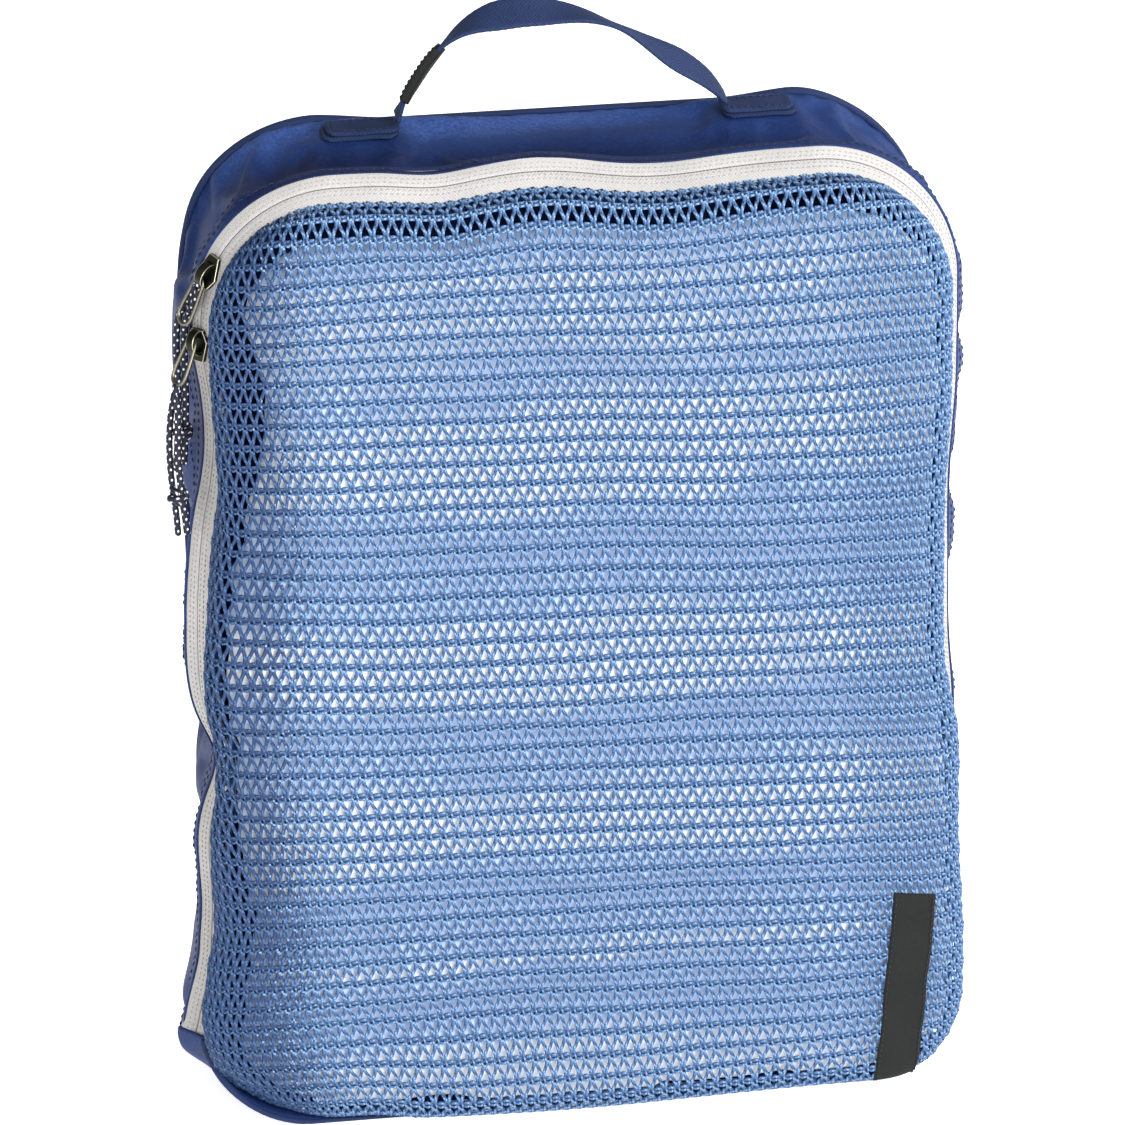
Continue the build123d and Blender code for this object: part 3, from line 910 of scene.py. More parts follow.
def drape(points):
    """Bends flat net, given as x, z and height off the cloth, over the tray's front and sides."""
    x, z, lift = points.T
    x = x + 0.9 * MM * waves(x, z, 3, 0.12) + 0.16 * MM * waves(x, z, 8, 0.018)
    lean = 0.04 * x * np.clip(1 - ((z - MIDDLE_Z) / 0.15) ** 4, 0, 1)
    z = z + 0.14 * MM * waves(x, z, 9, 0.016) + 1.3 * MM * waves(x, z, 4, 0.15) - lean
    upper = z > (NET_TOP + NET_FOOT) / 2
    radius = np.where(upper, NET_RIM_RADIUS, NET_FOOT_RADIUS)
    centre_x = NET_HALF_WIDTH - radius
    centre_z = np.where(upper, NET_TOP - radius, NET_FOOT + radius)
    out = np.stack([np.sign(x) * np.maximum(np.abs(x) - centre_x, 0),
                    np.where(upper, np.maximum(z - centre_z, 0), np.minimum(z - centre_z, 0))], 1)
    inside = radius + NET_EASE - np.linalg.norm(out, axis=1)
    out = unit(out)
    held = np.clip(inside, 0, SIDE_RUN)
    inset = np.interp(held, SIDE_STEPS, SIDE_INSET)
    shift = np.where(inside < SIDE_RUN, inside - NET_EASE - inset, 0)
    slope_inset = np.interp(held, SIDE_STEPS, np.gradient(SIDE_INSET, SIDE_STEPS))
    slope_y = np.interp(held, SIDE_STEPS, np.gradient(SIDE_Y, SIDE_STEPS))
    foot = np.clip(-out[:, 1], 0, 1) ** 2
    free = smooth_share(inside, 0, 0.35 * SIDE_RUN)
    y = FRONT_Y + (np.interp(held, SIDE_STEPS, SIDE_Y) - FRONT_Y) * (1 - 0.75 * foot)
    y = y - slope_inset * lift - fullness(x, z) * smooth_share(inside, 0.35 * SIDE_RUN, 0.03)
    shift = shift - slope_y * lift
    top_edge = smooth_share(z, NET_TOP - 0.030, NET_TOP - 0.004)
    pushed = np.sign(x) * free * side_push(x, z) * smooth_share(np.abs(x), 0.045, 0.118)
    sway = (zip_sway(x) - 0.3 * TAPE_EXTRA * top_share(x)) * top_edge
    y = y + 1.5 * MM * (1 - smooth_share(inside, 1 * MM, 5 * MM)) * np.clip(out[:, 1], 0, 1)
    low = free * (1 - smooth_share(z, 0.004, 0.045))
    y = y - FOOT_BULGE * low * hump(x, -0.01, 0.065)
    drop = NET_DROP * low * smooth_share(x, -0.085, -0.055)
    height = np.maximum(z + out[:, 1] * shift + sway - drop, 0.6 * MM)
    return np.stack([x + out[:, 0] * shift + pushed, y, height], 1), inside


def yarn(centres, radius, sides, closed=False):
    """One yarn of a knitted cell: points, faces, the middle under each point, and each face's shade."""
    points, faces = rod(centres, radius, sides, closed)
    row = np.arange(len(faces)) // sides
    column = np.arange(len(faces)) % sides
    shade = PLY[(row + column) % len(PLY)]
    return points, faces, np.repeat(np.asarray(centres, float), sides, 0), shade


def knit_cell():
    """One knot of the net, the chain to the next knot, and the two strands up to the next row."""
    half = NET_COLUMN / 2
    turn = np.linspace(0, 2 * math.pi, 10, endpoint=False)
    ring = np.stack([RING_WIDE * np.cos(turn), RING_TALL * np.sin(turn),
                     RING_LIFT + 0.2 * MM * np.cos(2 * turn)], 1)
    parts = [yarn(ring, RING_YARN, 4, closed=True)]
    share = np.linspace(0, 1, 8)
    for side in (-1, 1):
        chain = np.stack([0.3 * MM + share * (NET_COLUMN - 0.6 * MM),
                          side * MM * (0.35 + 0.50 * np.sin(math.pi * share)),
                          side * 0.22 * MM * np.sin(3 * math.pi * share)], 1)
        parts.append(yarn(chain, CHAIN_YARN, 5))
    backing = np.stack([share[::2] * NET_COLUMN, 0 * share[::2], 0 * share[::2] - BACKING_DEPTH], 1)
    parts.append(yarn(backing, BACKING_YARN, 4))
    climb = np.linspace(0, 1, 10)
    level = 0.7 * MM + climb * (NET_ROW - 1.4 * MM)
    for lean in (-1, 1):
        across = lean * half * (level / NET_ROW) - lean * 0.16 * MM * np.sin(2 * math.pi * climb)
        strand = np.stack([across, level, 0.12 * MM * lean * np.cos(math.pi * climb)], 1)
        parts.append(yarn(strand, YARN_RADIUS * (1 + 0.45 * np.abs(2 * climb - 1) ** 3), 7))
    points, faces = together([part[:2] for part in parts])
    return points, faces, np.vstack([part[2] for part in parts]), np.concatenate([part[3] for part in parts])


def knot_grid():
    """Where the knots lie on the flat net. Each row is half a column along from the last."""
    wide = (NET_HALF_WIDTH + NET_EASE) * 1.3
    low, high = NET_FOOT - NET_EASE, NET_TOP + NET_EASE
    rows = np.arange(math.ceil((high - low) / NET_ROW) + 1)
    columns = np.arange(-math.ceil(wide / NET_COLUMN) - 1, math.ceil(wide / NET_COLUMN) + 2)
    row, column = np.meshgrid(rows, columns, indexing="ij")
    x = (column + 0.5 * (row % 2)) * NET_COLUMN
    z = low + row * NET_ROW
    return np.stack([x, z, 0 * x], -1)


def spread_flat(flat):
    """Moves points of the even knit to where the gathered net has them, still flat."""
    return np.stack([gathered(flat[:, 0], flat[:, 1]), stretched(flat[:, 1]), flat[:, 2]], 1)


def make_net():
    """The net, in bands of rows so that no piece is too heavy."""
    points, faces, middles, shades = knit_cell()
    draw = np.random.default_rng(12)
    for band, rows in enumerate(np.array_split(knot_grid(), NET_BANDS)):
        knots = rows.reshape(-1, 3)
        _, inside = drape(spread_flat(knots))
        knots = knots[inside > -1.5 * MM]
        flat = spread_flat((knots[:, None] + middles[None]).reshape(-1, 3))
        flat = flat + np.tile(points - middles, (len(knots), 1))
        all_faces = (faces[None] + len(points) * np.arange(len(knots))[:, None, None]).reshape(-1, 4)
        # Painted shade: towards the left side, more and more faces take a darker tone, where the net turns
        # away from the light.
        painted_shade_share = smooth_share(-gathered(knots[:, 0], knots[:, 1]), 0.090, 0.112)
        in_painted_shade = draw.random((len(knots), len(shades))) < painted_shade_share[:, None]
        with_painted_shade = np.where(in_painted_shade, PAINTED_SHADE_PLY[shades][None], shades[None])
        net = mesh_object(f"net_rows_{band + 1}", drape(flat)[0], all_faces)
        put(net, "lid", YARN, ["mesh_panel"])
        net.data.materials.append(YARN_LIGHT)
        net.data.materials.append(YARN_DARK)
        net.data.polygons.foreach_set("material_index", with_painted_shade.ravel().astype(np.int32))


# ---------------------------------------------------------------- the folded clothes behind the net

GARMENT_BACK_Y = -0.0335
GARMENT_GAP = 3.4 * MM
GARMENT_SEAM = 3.2 * MM
NET_CLEARANCE = 1.8 * MM
GARMENT_VOXEL = 3.6 * MM
GARMENT_CAP = 1.3 * MM
CREASE_DEPTH = 2.4 * MM
LEFT_GAPS = (11, 0.270, 0.038), (5, 0.062, 0.040)
FRONT_RINGS = 70
BACK_RINGS = 24


def garment_outline():
    """The outline of the filling on the flat net: x and z round a rectangle with round corners."""
    reach = NET_EASE - GARMENT_SEAM
    top_x, foot_x = NET_HALF_WIDTH - NET_RIM_RADIUS, NET_HALF_WIDTH - NET_FOOT_RADIUS
    top_z, foot_z = NET_TOP - NET_RIM_RADIUS, NET_FOOT + NET_FOOT_RADIUS
    wide, high, low = NET_HALF_WIDTH + reach, NET_TOP + reach, NET_FOOT - reach
    top_radius, foot_radius = NET_RIM_RADIUS + reach, NET_FOOT_RADIUS + reach
    return walk([("line", (-wide, foot_z), (-wide, top_z)), ("arc", (-top_x, top_z), top_radius, 180, 90),
                 ("line", (-top_x, high), (top_x, high)), ("arc", (top_x, top_z), top_radius, 90, 0),
                 ("line", (wide, top_z), (wide, foot_z)), ("arc", (foot_x, foot_z), foot_radius, 0, -90),
                 ("line", (foot_x, low), (-foot_x, low)), ("arc", (-foot_x, foot_z), foot_radius, 270, 180)],
                4 * MM)[:, :2]


def garment_blank():
    """The filling before it is puffed up: a skin just inside the net, closed behind."""
    outline = garment_outline()
    middle = np.array([0, (NET_TOP + NET_FOOT) / 2])
    rings = np.linspace(0.004, 1, FRONT_RINGS)[:, None, None]
    flat = middle + rings * (outline[None] - middle)
    x, z = flat[:, :, 0], flat[:, :, 1]
    gap = GARMENT_GAP + 0.5 * MM * waves(x, z, 71, 0.03)
    for crease in CREASES:
        gap = gap + CREASE_DEPTH * hump(z, crease_height(crease, x), 0.0042)
    front = drape(np.stack([x.ravel(), z.ravel(), -gap.ravel()], 1))[0].reshape(flat.shape[:2] + (3,))
    x, z = front[:, :, 0], front[:, :, 2]
    left = 2.5 * MM + humps(z, *LEFT_GAPS)
    front[:, :, 0] = x + left * smooth_share(-x, 0.080, 0.128) - 0.2 * MM * smooth_share(x, 0.09, 0.125)
    front[:, :, 2] = np.maximum(z - 7 * MM * smooth_share(z, 0.25, 0.333), 1.6 * MM)
    edge = front[-1]
    rings = np.linspace(0.985, 0.004, BACK_RINGS)[:, None]
    x = edge[None, :, 0] * rings
    z = MIDDLE_Z + (edge[None, :, 2] - MIDDLE_Z) * rings
    y = GARMENT_BACK_Y + 1.2 * MM * waves(x, z, 72, 0.05) * np.clip((1 - rings) * 8, 0, 1)
    return np.concatenate([front, np.stack([x, y, z], 2)], 0)


def settle(made, held, cap, frames, gravity, **settings):
    """Runs a soft piece as cloth with some points held, and keeps it within cap of where it began."""
    start = read_points(made)
    pins = made.vertex_groups.new(name="held")
    for index, weight in enumerate(held):
        pins.add([index], float(weight), "REPLACE")
    cloth = made.modifiers.new("cloth", "CLOTH").settings
    for name, value in settings.items():
        setattr(cloth, name, value)
    cloth.effector_weights.gravity = gravity
    cloth.vertex_group_mass = "held"
    for step in range(1, frames + 1):
        bpy.context.scene.frame_set(step)
    apply_modifiers(made)
    bpy.context.scene.frame_set(1)
    moved = read_points(made) - start
    far = np.linalg.norm(moved, axis=1, keepdims=True)
    kept = start + moved * np.minimum(1, cap / np.maximum(far, 1e-9))
    kept[:, 2] = np.maximum(kept[:, 2], LOWEST)
    move_points(made, kept)


def held_at_creases(points):
    """How firmly each point of the filling is held: wholly at the back, and near each crease."""
    weights = np.zeros(len(points))
    for crease in CREASES:
        weights = np.maximum(weights, hump(points[:, 2], crease_height(crease, points[:, 0]), 0.004))
    return np.where(points[:, 1] > GARMENT_BACK_Y - 3 * MM, 1.0, weights)


def stay_behind_net(garment):
    """Flattens the filling where it presses on the net."""
    points = read_points(garment)
    net_y = FRONT_Y - fullness(points[:, 0], points[:, 2]) + NET_CLEARANCE
    points[:, 1] = np.maximum(points[:, 1], net_y)
    move_points(garment, points)


def make_garment():
    """The clothes: a skin remeshed evenly, swelled as cloth between its creases, and smoothed."""
    garment = closed_piece("folded_clothes", garment_blank())
    remesh = garment.modifiers.new("voxels", "REMESH")
    remesh.mode = "VOXEL"
    remesh.voxel_size = GARMENT_VOXEL
    apply_modifiers(garment)
    settle(garment, held_at_creases(read_points(garment)), GARMENT_CAP, 20, 0, quality=6,
           use_pressure=True, uniform_pressure_force=3.0, shrink_min=-0.04)
    stay_behind_net(garment)
    apply_modifiers(garment, rounded=True)
    garment.data.polygons.foreach_set("use_smooth", np.ones(len(garment.data.polygons), bool))
    put(garment, "lid", garment_look([crease[0] for crease in CREASES]), ["folded_garment"])


# ---------------------------------------------------------------- the navy case

GUSSET_CAP = 3.2 * MM
GUSSET_ROWS = 19
# The parts of the top that the handle's patches hold down.
PATCH_INNER = 0.052
PATCH_OUTER = 0.084
PATCH_Y = 0.012
BELLY = 0.9 * MM
BAND_VALLEY = (3.0, 0.10, 0.08), (-4.4, 0.67, 0.17)


def case_flare(z, x):
    """The stuffed case stands a little wider towards its foot, more on the right."""
    return np.where(x < 0, 0.6, 1.4) * MM * smooth_share(-z, -0.20, -0.05)


def gusset_points():
    """The band round the case: its rows run from the back seam to the zip."""
    path = WHOLE_PATH
    y = np.linspace(BACK_Y - 0.6 * MM, ZIP_EDGE_Y - 1.3 * MM, GUSSET_ROWS)
    share = np.linspace(0, 1, GUSSET_ROWS)
    flare = case_flare(path[:, 1], path[:, 0]) * np.abs(path[:, 2])
    belly = np.sin(math.pi * share)[None] * BELLY * np.abs(path[:, 2])[:, None]
    valley = humps(share, *BAND_VALLEY)
    spot = np.clip(path[:, 3], 0, 1) ** 3 * (0.5 + 0.5 * hump(path[:, 0], -0.025, 0.055))
    belly = belly + spot[:, None] * (valley * np.sin(math.pi * share) ** 0.3)[None]
    x, z = off_path(path, belly + flare[:, None] * (0.35 + 0.65 * (1 - share))[None])
    sway = zip_sway(path[:, 0]) * (path[:, 1] > TOP - 1 * MM)
    z = z + sway[:, None] * smooth_share(share, 0.3, 0.95)[None]
    return np.stack([x, np.broadcast_to(y, x.shape), z], 2)


def line_inside(made):
    """Gives a panel of the case its thickness, with the lining's colour on its inner face, and rounds it."""
    made.data.materials.append(NAVY)
    made.data.materials.append(LINING)
    solid = made.modifiers.new("thickness", "SOLIDIFY")
    solid.thickness = CLOTH
    solid.offset = -1
    solid.material_offset = 1
    apply_modifiers(made, rounded=True)


def make_gusset():
    """The band, rippled and then left a little slack, so that it buckles into wrinkles between its seams."""
    points = gusset_points()
    draw = np.random.default_rng(5)
    ripple = 0.9 * MM * waves(points[:, :, 0] + points[:, :, 2], points[:, :, 1], 21, 0.05)
    ripple = ripple * np.sin(math.pi * np.linspace(0, 1, GUSSET_ROWS))[None]
    points[:, :, 0] += ripple * WHOLE_PATH[:, None, 2]
    points[:, :, 2] = np.maximum(points[:, :, 2] + ripple * WHOLE_PATH[:, None, 3], LOWEST)
    points += draw.normal(0, 0.02 * MM, points.shape) * (points[:, :, 2:] > 1 * MM)
    gusset = grid_piece("case_gusset", points, closed_rows=True)
    flat = points.reshape(-1, 3)
    column = np.tile(np.arange(GUSSET_ROWS), len(points))
    held = (column < 1) | (column > GUSSET_ROWS - 3) | (flat[:, 2] < 3 * MM)
    beside = (np.abs(flat[:, 0]) > PATCH_INNER) & (np.abs(flat[:, 0]) < PATCH_OUTER)
    held = held | (beside & (flat[:, 2] > TOP - 5 * MM) & (np.abs(flat[:, 1] - PATCH_Y) < 8 * MM))
    settle(gusset, held, GUSSET_CAP, 24, 0.15, quality=7, shrink_min=-0.05, bending_stiffness=1.0)
    face_away(gusset)
    line_inside(gusset)
    sides = ["gusset_top", "gusset_left", "gusset_right", "gusset_bottom"]
    return put(gusset, "case", None, sides)


def face_away(made):
    """Turns an open skin round the case so that its faces look outward."""
    mesh = made.data
    lean = sum(p.normal.x * p.center.x + p.normal.z * (p.center.z - TOP / 2) for p in mesh.polygons)
    if lean < 0:
        mesh.flip_normals()


FOOT_LAP = 3.5 * MM
FOOT_COLUMNS = 14


def foot_front(z):
    """How far forward and inward the case's foot reaches, from the hinge up over the zip's end."""
    climb = smooth_share(z, 2 * MM, 22 * MM)
    front = FOOT_FRONT_Y + 1.2 * MM
    return front + climb * (RIM_Y - 0.8 * MM - front), climb * (HALF_WIDTH - NET_HALF_WIDTH - 0.3 * MM)


def make_foot():
    """The case's foot in front of the band, which wraps up each corner and laps over the zip's ends."""
    path = walk(lower_runs(), 2.0 * MM)
    path = path[path[:, 1] < FOOT_Z + FOOT_LAP]
    share = np.linspace(0, 1, FOOT_COLUMNS)
    front_y, front_inset = foot_front(path[:, 1])
    y = ZIP_EDGE_Y + 1 * MM + share[None] * (front_y - ZIP_EDGE_Y - 1 * MM)[:, None]
    flare = case_flare(path[:, 1], path[:, 0]) * np.abs(path[:, 2]) * 0.35
    lap = 1.7 * MM * smooth_share(path[:, 1], 8 * MM, 24 * MM)
    x, z = off_path(path, (flare + lap)[:, None] - front_inset[:, None] * share)
    points = np.stack([x, y, z], 2)
    foot = grid_piece("case_foot", points)
    face_away(foot)
    line_inside(foot)
    put(foot, "case", None)
    outward = path_outward(path, -0.5)
    stitches = stitch_row("foot_stitches", lay_on(foot, points[:, -3], outward), outward)
    put(stitches, "case", NAVY_THREAD)
    hem = closed_piece("foot_hem", tube_points(points[:, -1], 1.1 * MM, 12))
    put(hem, "case", BINDING, ["hinge_seam_binding"])


BACK_SIZE = (70, 90)
# The binding's section round the back seam: inset from the outline, and y, in mm.
BACK_EDGE = [(-1.6, 28.2), (-1.5, 29.9), (-0.6, 30.9), (1.2, 31.0), (3.2, 30.5), (3.9, 29.9), (3.9, 28.6),
             (2.6, 28.3), (1.2, 27.4), (0.6, 26.4), (-0.4, 26.0), (-1.3, 26.4)]


def make_back():
    """The back panel, slightly quilted by what is packed behind it, and its bound edge."""
    levels = 0.5 - 0.5 * np.cos(np.linspace(0, math.pi, BACK_SIZE[1]))
    across, level = np.meshgrid(np.linspace(-1, 1, BACK_SIZE[0]), levels, indexing="ij")
    z = level * TOP
    radius = np.where(z > TOP / 2, TOP_RADIUS, BOTTOM_RADIUS)
    over = np.clip(radius - np.minimum(z, TOP - z), 0, radius)
    x = across * (HALF_WIDTH - radius + np.sqrt(radius ** 2 - over ** 2))
    inside = radius - np.hypot(np.maximum(np.abs(x) - HALF_WIDTH + radius, 0), over)
    swell = 1.3 * MM + 0.9 * MM * waves(x, z, 31, 0.16) + 0.5 * MM * waves(x, z, 32, 0.045)
    y = BACK_Y + np.minimum(swell, 2.6 * MM) * smooth_share(inside, 1 * MM, 18 * MM)
    back = grid_piece("back_cloth", np.stack([x, y, z], 2))
    if sum(p.normal.y for p in back.data.polygons) < 0:
        back.data.flip_normals()
    line_inside(back)
    put(back, "case", None, ["back_panel"])
    binding = sweep("back_edge_binding", WHOLE_PATH, np.array(BACK_EDGE) * MM, closed_path=True)
    put(binding, "case", BINDING, ["back_binding"])
    line = path_line(WHOLE_PATH, 3.0 * MM, 30.75 * MM)
    stitches = stitch_row("back_stitches", line, path_outward(WHOLE_PATH, 1, 0))
    put(stitches, "case", NAVY_THREAD)


# ---------------------------------------------------------------- the zip

TAPE_CENTRE = 7.0 * MM
TAPE_ROUGH = 0.55 * MM
TAPE_SINK = 0.5 * MM


def tape_section(low, high, path, seed):
    """A tape's section at each point of the path: flat at the chain, wavy and rolled at its sewn edge."""
    base = rounded_strip(low, high, TAPE_THICKNESS, 0.15 * MM)
    extra = 1.35 * TAPE_EXTRA * top_share(path[:, 0]) * (path[:, 3] > 0.5)
    wider = np.clip(base[None, :, 0] - 7.5 * MM, 0, 1) / (7.1 * MM) * extra[:, None]
    steps = run_steps(path[:, :2])
    away = (np.abs(base[:, 0] - TAPE_CENTRE) / TAPE_CENTRE)[None] ** 2
    ripple = (waves(steps, 0 * steps, seed, 0.07) + 0.5 * waves(steps, 0 * steps, seed + 1, 0.03))[:, None]
    across = base[None, :, 0] + wider + 0.9 * MM * ripple * away
    return zip_place(across, base[None, :, 1] + (TAPE_ROUGH * ripple - TAPE_SINK) * away)


def zip_line(across, out, path):
    """A line along the zip band."""
    return path_line(path, *zip_place(across, out))


def zip_outward(path):
    return path_outward(path, -math.sin(ZIP_TILT), math.cos(ZIP_TILT))


def coil_template(turn):
    """One turn of the coil: a flattened loop of filament that leans towards the next."""
    angle = np.linspace(0, 2 * math.pi, 11)
    loop = np.stack([turn * angle / (2 * math.pi), 0.85 * MM * np.cos(angle), -0.55 * MM * np.sin(angle)], 1)
    return rod(loop, 0.27 * MM, 5)


def make_coil(name, node, body, across, start):
    """One side of the zip's coil, under its tape."""
    turn = 1.3 * MM
    places, share = along_line(zip_line(across, -1.5 * MM, ZIP_PATH), turn, start * turn)
    up = read_share(share, zip_outward(ZIP_PATH))
    tangent = unit(np.gradient(places, axis=0))
    axes = np.stack([tangent, unit(np.cross(up, tangent)), up], 1)
    coil = mesh_object(name, *scatter(coil_template(turn), places, axes))
    put(coil, body, COIL_PLASTIC, [node])


# Side, body, the tape's two edges across the band, its seed, where the coil lies, its start in turns, and
# where the rows of stitches lie, in mm.
ZIP_SIDES = [("outer", "case", (-0.6, 6.8), 41, 6.1, 0.0, (3.6, 5.4)),
             ("inner", "lid", (7.2, 14.6), 51, 7.9, 0.5, (8.6, 10.4))]


def make_zip(gusset):
    """Both tapes with their coils and stitches, and the two rows that sew the band beside them."""
    path = ZIP_PATH
    for side, body, (low, high), seed, coil, start, rows in ZIP_SIDES:
        tape = sweep(f"zip_tape_{side}", path, tape_section(low * MM, high * MM, path, seed))
        put(tape, body, ZIP_TAPE, [f"zip_tape_{body}"])
        make_coil(f"zip_coil_{side}", f"zip_coil_{body}", body, coil * MM, start)
        for number, across in enumerate(rows, 1):
            row = stitch_row(f"zip_stitches_{side}_{number}", zip_line(across * MM, 0.05 * MM, path),
                             zip_outward(path), pitch=1.9 * MM, length=1.15 * MM, thick=0.17 * MM)
            put(row, body, WHITE_THREAD)
    outward = path_outward(path, 0)
    for number, y in enumerate((3.2, 8.0), 1):
        line = lay_on(gusset, path_line(path, -0.15 * MM, ZIP_EDGE_Y + y * MM), outward)
        put(stitch_row(f"gusset_stitches_{number}", line, outward), "case", NAVY_THREAD)
    make_seam_tapes(path)


def make_seam_tapes(path):
    """The narrow tapes that bind the raw edges inside, seen when the lid is open."""
    turn = np.radians(np.arange(0, 360, 30))
    for body, inner, outer in [("case", 1.3 * MM, 3.1 * MM), ("lid", 8.1 * MM, 9.7 * MM)]:
        low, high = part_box(f"seam_binding_{body}")
        deep = (high.y - low.y) / 2 - 0.4 * MM
        section = squared_ring(turn, (outer - inner) / 2, deep, 0.5, 0.3)
        section = section + ((inner + outer) / 2, (low.y + high.y) / 2)
        tape = sweep(f"seam_tape_{body}", path, section)
        put(tape, body, BINDING, [f"seam_binding_{body}"])


# ---------------------------------------------------------------- the handle, its patches and its tag

STRAP_WIDTH = 14 * MM
STRAP_THICK = 1.5 * MM
STRAP_STEPS = 170
TAG_START, TAG_END = 7.0 * MM, 28.0 * MM
HANDLE_Y = (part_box("handle_webbing")[0].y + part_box("handle_webbing")[1].y) / 2
# The middle of the strap in x and z, in mm, and how far it is turned, in degrees, along its length.
STRAP_ROUTE = [(-55.6, 350.2), (-52.4, 356.8), (-47.6, 364.6), (-41.2, 373.2), (-32.6, 380.6),
               (-20.6, 384.4), (-6.5, 384.9), (8.6, 382.9), (21.6, 377.2), (34.0, 368.8), (45.6, 361.4),
               (53.0, 355.2), (56.4, 350.2)]
STRAP_TILT = [(0, 0), (0.06, -18), (0.20, -20), (0.27, -4), (0.36, 30), (0.48, 26), (0.58, 0), (0.66, -14),
              (0.74, 0), (0.84, 24), (0.93, 14), (1, 0)]


def strap_frames():
    """Points along the strap's middle, its direction, its width's direction and its face's direction."""
    route = [(x * MM, HANDLE_Y, z * MM) for x, z in STRAP_ROUTE]
    line, steps = even_line(smooth_line("strap_middle", route), 0.5 * MM)
    share = np.linspace(0, 1, STRAP_STEPS)
    line = read_at(share * steps[-1], steps, line)
    tangent = unit(np.gradient(line, axis=0))
    stops = np.array(STRAP_TILT, float)
    tilt = np.radians(np.interp(share, stops[:, 0], stops[:, 1]))
    kernel = np.hanning(21) / np.hanning(21).sum()
    tilt = np.convolve(np.pad(tilt, 10, "edge"), kernel, "valid")[:, None]
    face = unit(np.cross(tangent, np.array([0, 1, 0])))
    face = np.where(face[:, 2:] < 0, -face, face)
    wide = np.cos(tilt) * np.array([0, 1, 0]) + np.sin(tilt) * face
    return line, wide, unit(np.cross(tangent, wide))


def strap_section():
    """Section of webbing: flat faces, full round edges, and a faint rib along each edge."""
    across = np.linspace(-1, 1, 15)
    face = STRAP_THICK / 2 * (1 + 0.10 * hump(np.abs(across), 0.9, 0.06)) * (1 - np.abs(across) ** 24)
    upper = np.stack([across * STRAP_WIDTH / 2, face], 1)
    return np.vstack([upper, np.stack([across[::-1] * STRAP_WIDTH / 2, -face[::-1]], 1)[1:-1]])


def band_along(name, line, wide, face, section):
    """A closed band along a line. section is across it and off its face, and may differ along the line."""
    section = np.broadcast_to(section, (len(line),) + section.shape[-2:])
    across, off = section[:, :, :1], section[:, :, 1:]
    return closed_piece(name, line[:, None] + wide[:, None] * across + face[:, None] * off)


def make_strap():
    """The webbing handle, in one piece that is not attached to the case or the handle, and its tag."""
    line, wide, face = strap_frames()
    section = np.repeat(strap_section()[None], STRAP_STEPS, 0)
    section[:, :, 0] *= 1 + 0.012 * np.sin(np.arange(STRAP_STEPS) * 1.9)[:, None]
    strap = band_along("handle_strap", line, wide, face, section)
    strap.data.materials.append(WEBBING)
    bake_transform(strap)
    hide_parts("handle_webbing")
    make_tag(line, wide, face)


def frame_joint(name):
    """A joint's place, from the frame."""
    return Vector(next(j for j in frame["joints"] if j["name"] == name)["pos_m"])


def make_tag(line, wide, face):
    """The black woven tag sewn round the left leg of the strap."""
    steps = run_steps(line)
    part = (steps > TAG_START) & (steps < TAG_END)
    line, wide, face = line[part], wide[part], face[part]
    turn = np.linspace(0, 2 * math.pi, 40, endpoint=False)
    section = squared_ring(turn, STRAP_WIDTH / 2 + 0.9 * MM, 1.75 * MM, 0.25, 0.45)
    tag = band_along("strap_tag", line, wide, face, section)
    put(tag, "handle", BLACK_WOVEN, ["handle_tag"])
    for side in (-1, 1):
        edge = line + wide * side * (STRAP_WIDTH / 2 - 0.8 * MM) + face * 1.72 * MM
        row = stitch_row(f"tag_stitches_{side + 2}", edge, face, pitch=2.0 * MM, length=1.4 * MM,
                         thick=0.18 * MM)
        put(row, "handle", BLACK_THREAD)


def slab(name, centre, width, depth, thick, corner, bow):
    """A flat tab of webbing with round corners and soft edges, lying on the case."""
    u, v = np.meshgrid(np.linspace(-1, 1, 44), np.linspace(-1, 1, 28), indexing="ij")
    x, y = u * width / 2, v * depth / 2
    over_x = np.maximum(np.abs(x) - (width / 2 - corner), 0)
    over_y = np.maximum(np.abs(y) - (depth / 2 - corner), 0)
    reach = np.hypot(over_x, over_y)
    pull = np.where(reach > corner, corner / np.maximum(reach, 1e-9), 1)
    x = np.sign(x) * (np.abs(x) - over_x + over_x * pull)
    y = np.sign(y) * (np.abs(y) - over_y + over_y * pull)
    edge = np.clip((corner - np.minimum(reach, corner)) / (thick * 0.7), 0, 1)
    rise = thick / 2 * np.sqrt(1 - (1 - edge) ** 2)
    middle = centre[2] + (bow * u ** 2 + 0.15 * MM * waves(x, y, 61, 0.02))
    upper = np.stack([centre[0] + x, centre[1] + y, middle + rise], 2)
    lower = np.stack([centre[0] + x, centre[1] + y, middle - rise], 2)
    return closed_piece(name, np.concatenate([upper, lower[:, ::-1]], 1))


def make_patch(side, name):
    """A handle end: the webbing folded under itself and sewn down, with a stitched border."""
    node = f"handle_{name}"
    low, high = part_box(node)
    middle, width, depth = (low.x + high.x) / 2, high.x - low.x + 2 * MM, high.y - low.y
    under = slab(name + "_under", (middle + side * 0.6 * MM, HANDLE_Y, TOP + 0.75 * MM), width, depth,
                 1.7 * MM, 4.2 * MM, 0)
    put(under, "case", WEBBING, [node])
    centre = np.array((middle - side * 0.5 * MM, HANDLE_Y - 0.2 * MM, TOP + 2.25 * MM))
    upper = slab(name + "_upper", centre, width - 1 * MM, depth - 1.2 * MM, 1.6 * MM, 3.4 * MM, 0.5 * MM)
    put(upper, "case", WEBBING)
    turn = np.linspace(0, 2 * math.pi, 60)
    border = squared_ring(turn, width / 2 - 2.6 * MM, depth / 2 - 2.4 * MM, 0.3, 0.3)
    border = np.hstack([border, np.full((60, 1), 0.9 * MM)]) + centre
    stitches = stitch_row(name + "_stitches", border, np.tile([0, 0, 1], (60, 1)), pitch=2.4 * MM,
                          length=1.7 * MM)
    put(stitches, "case", NAVY_THREAD)


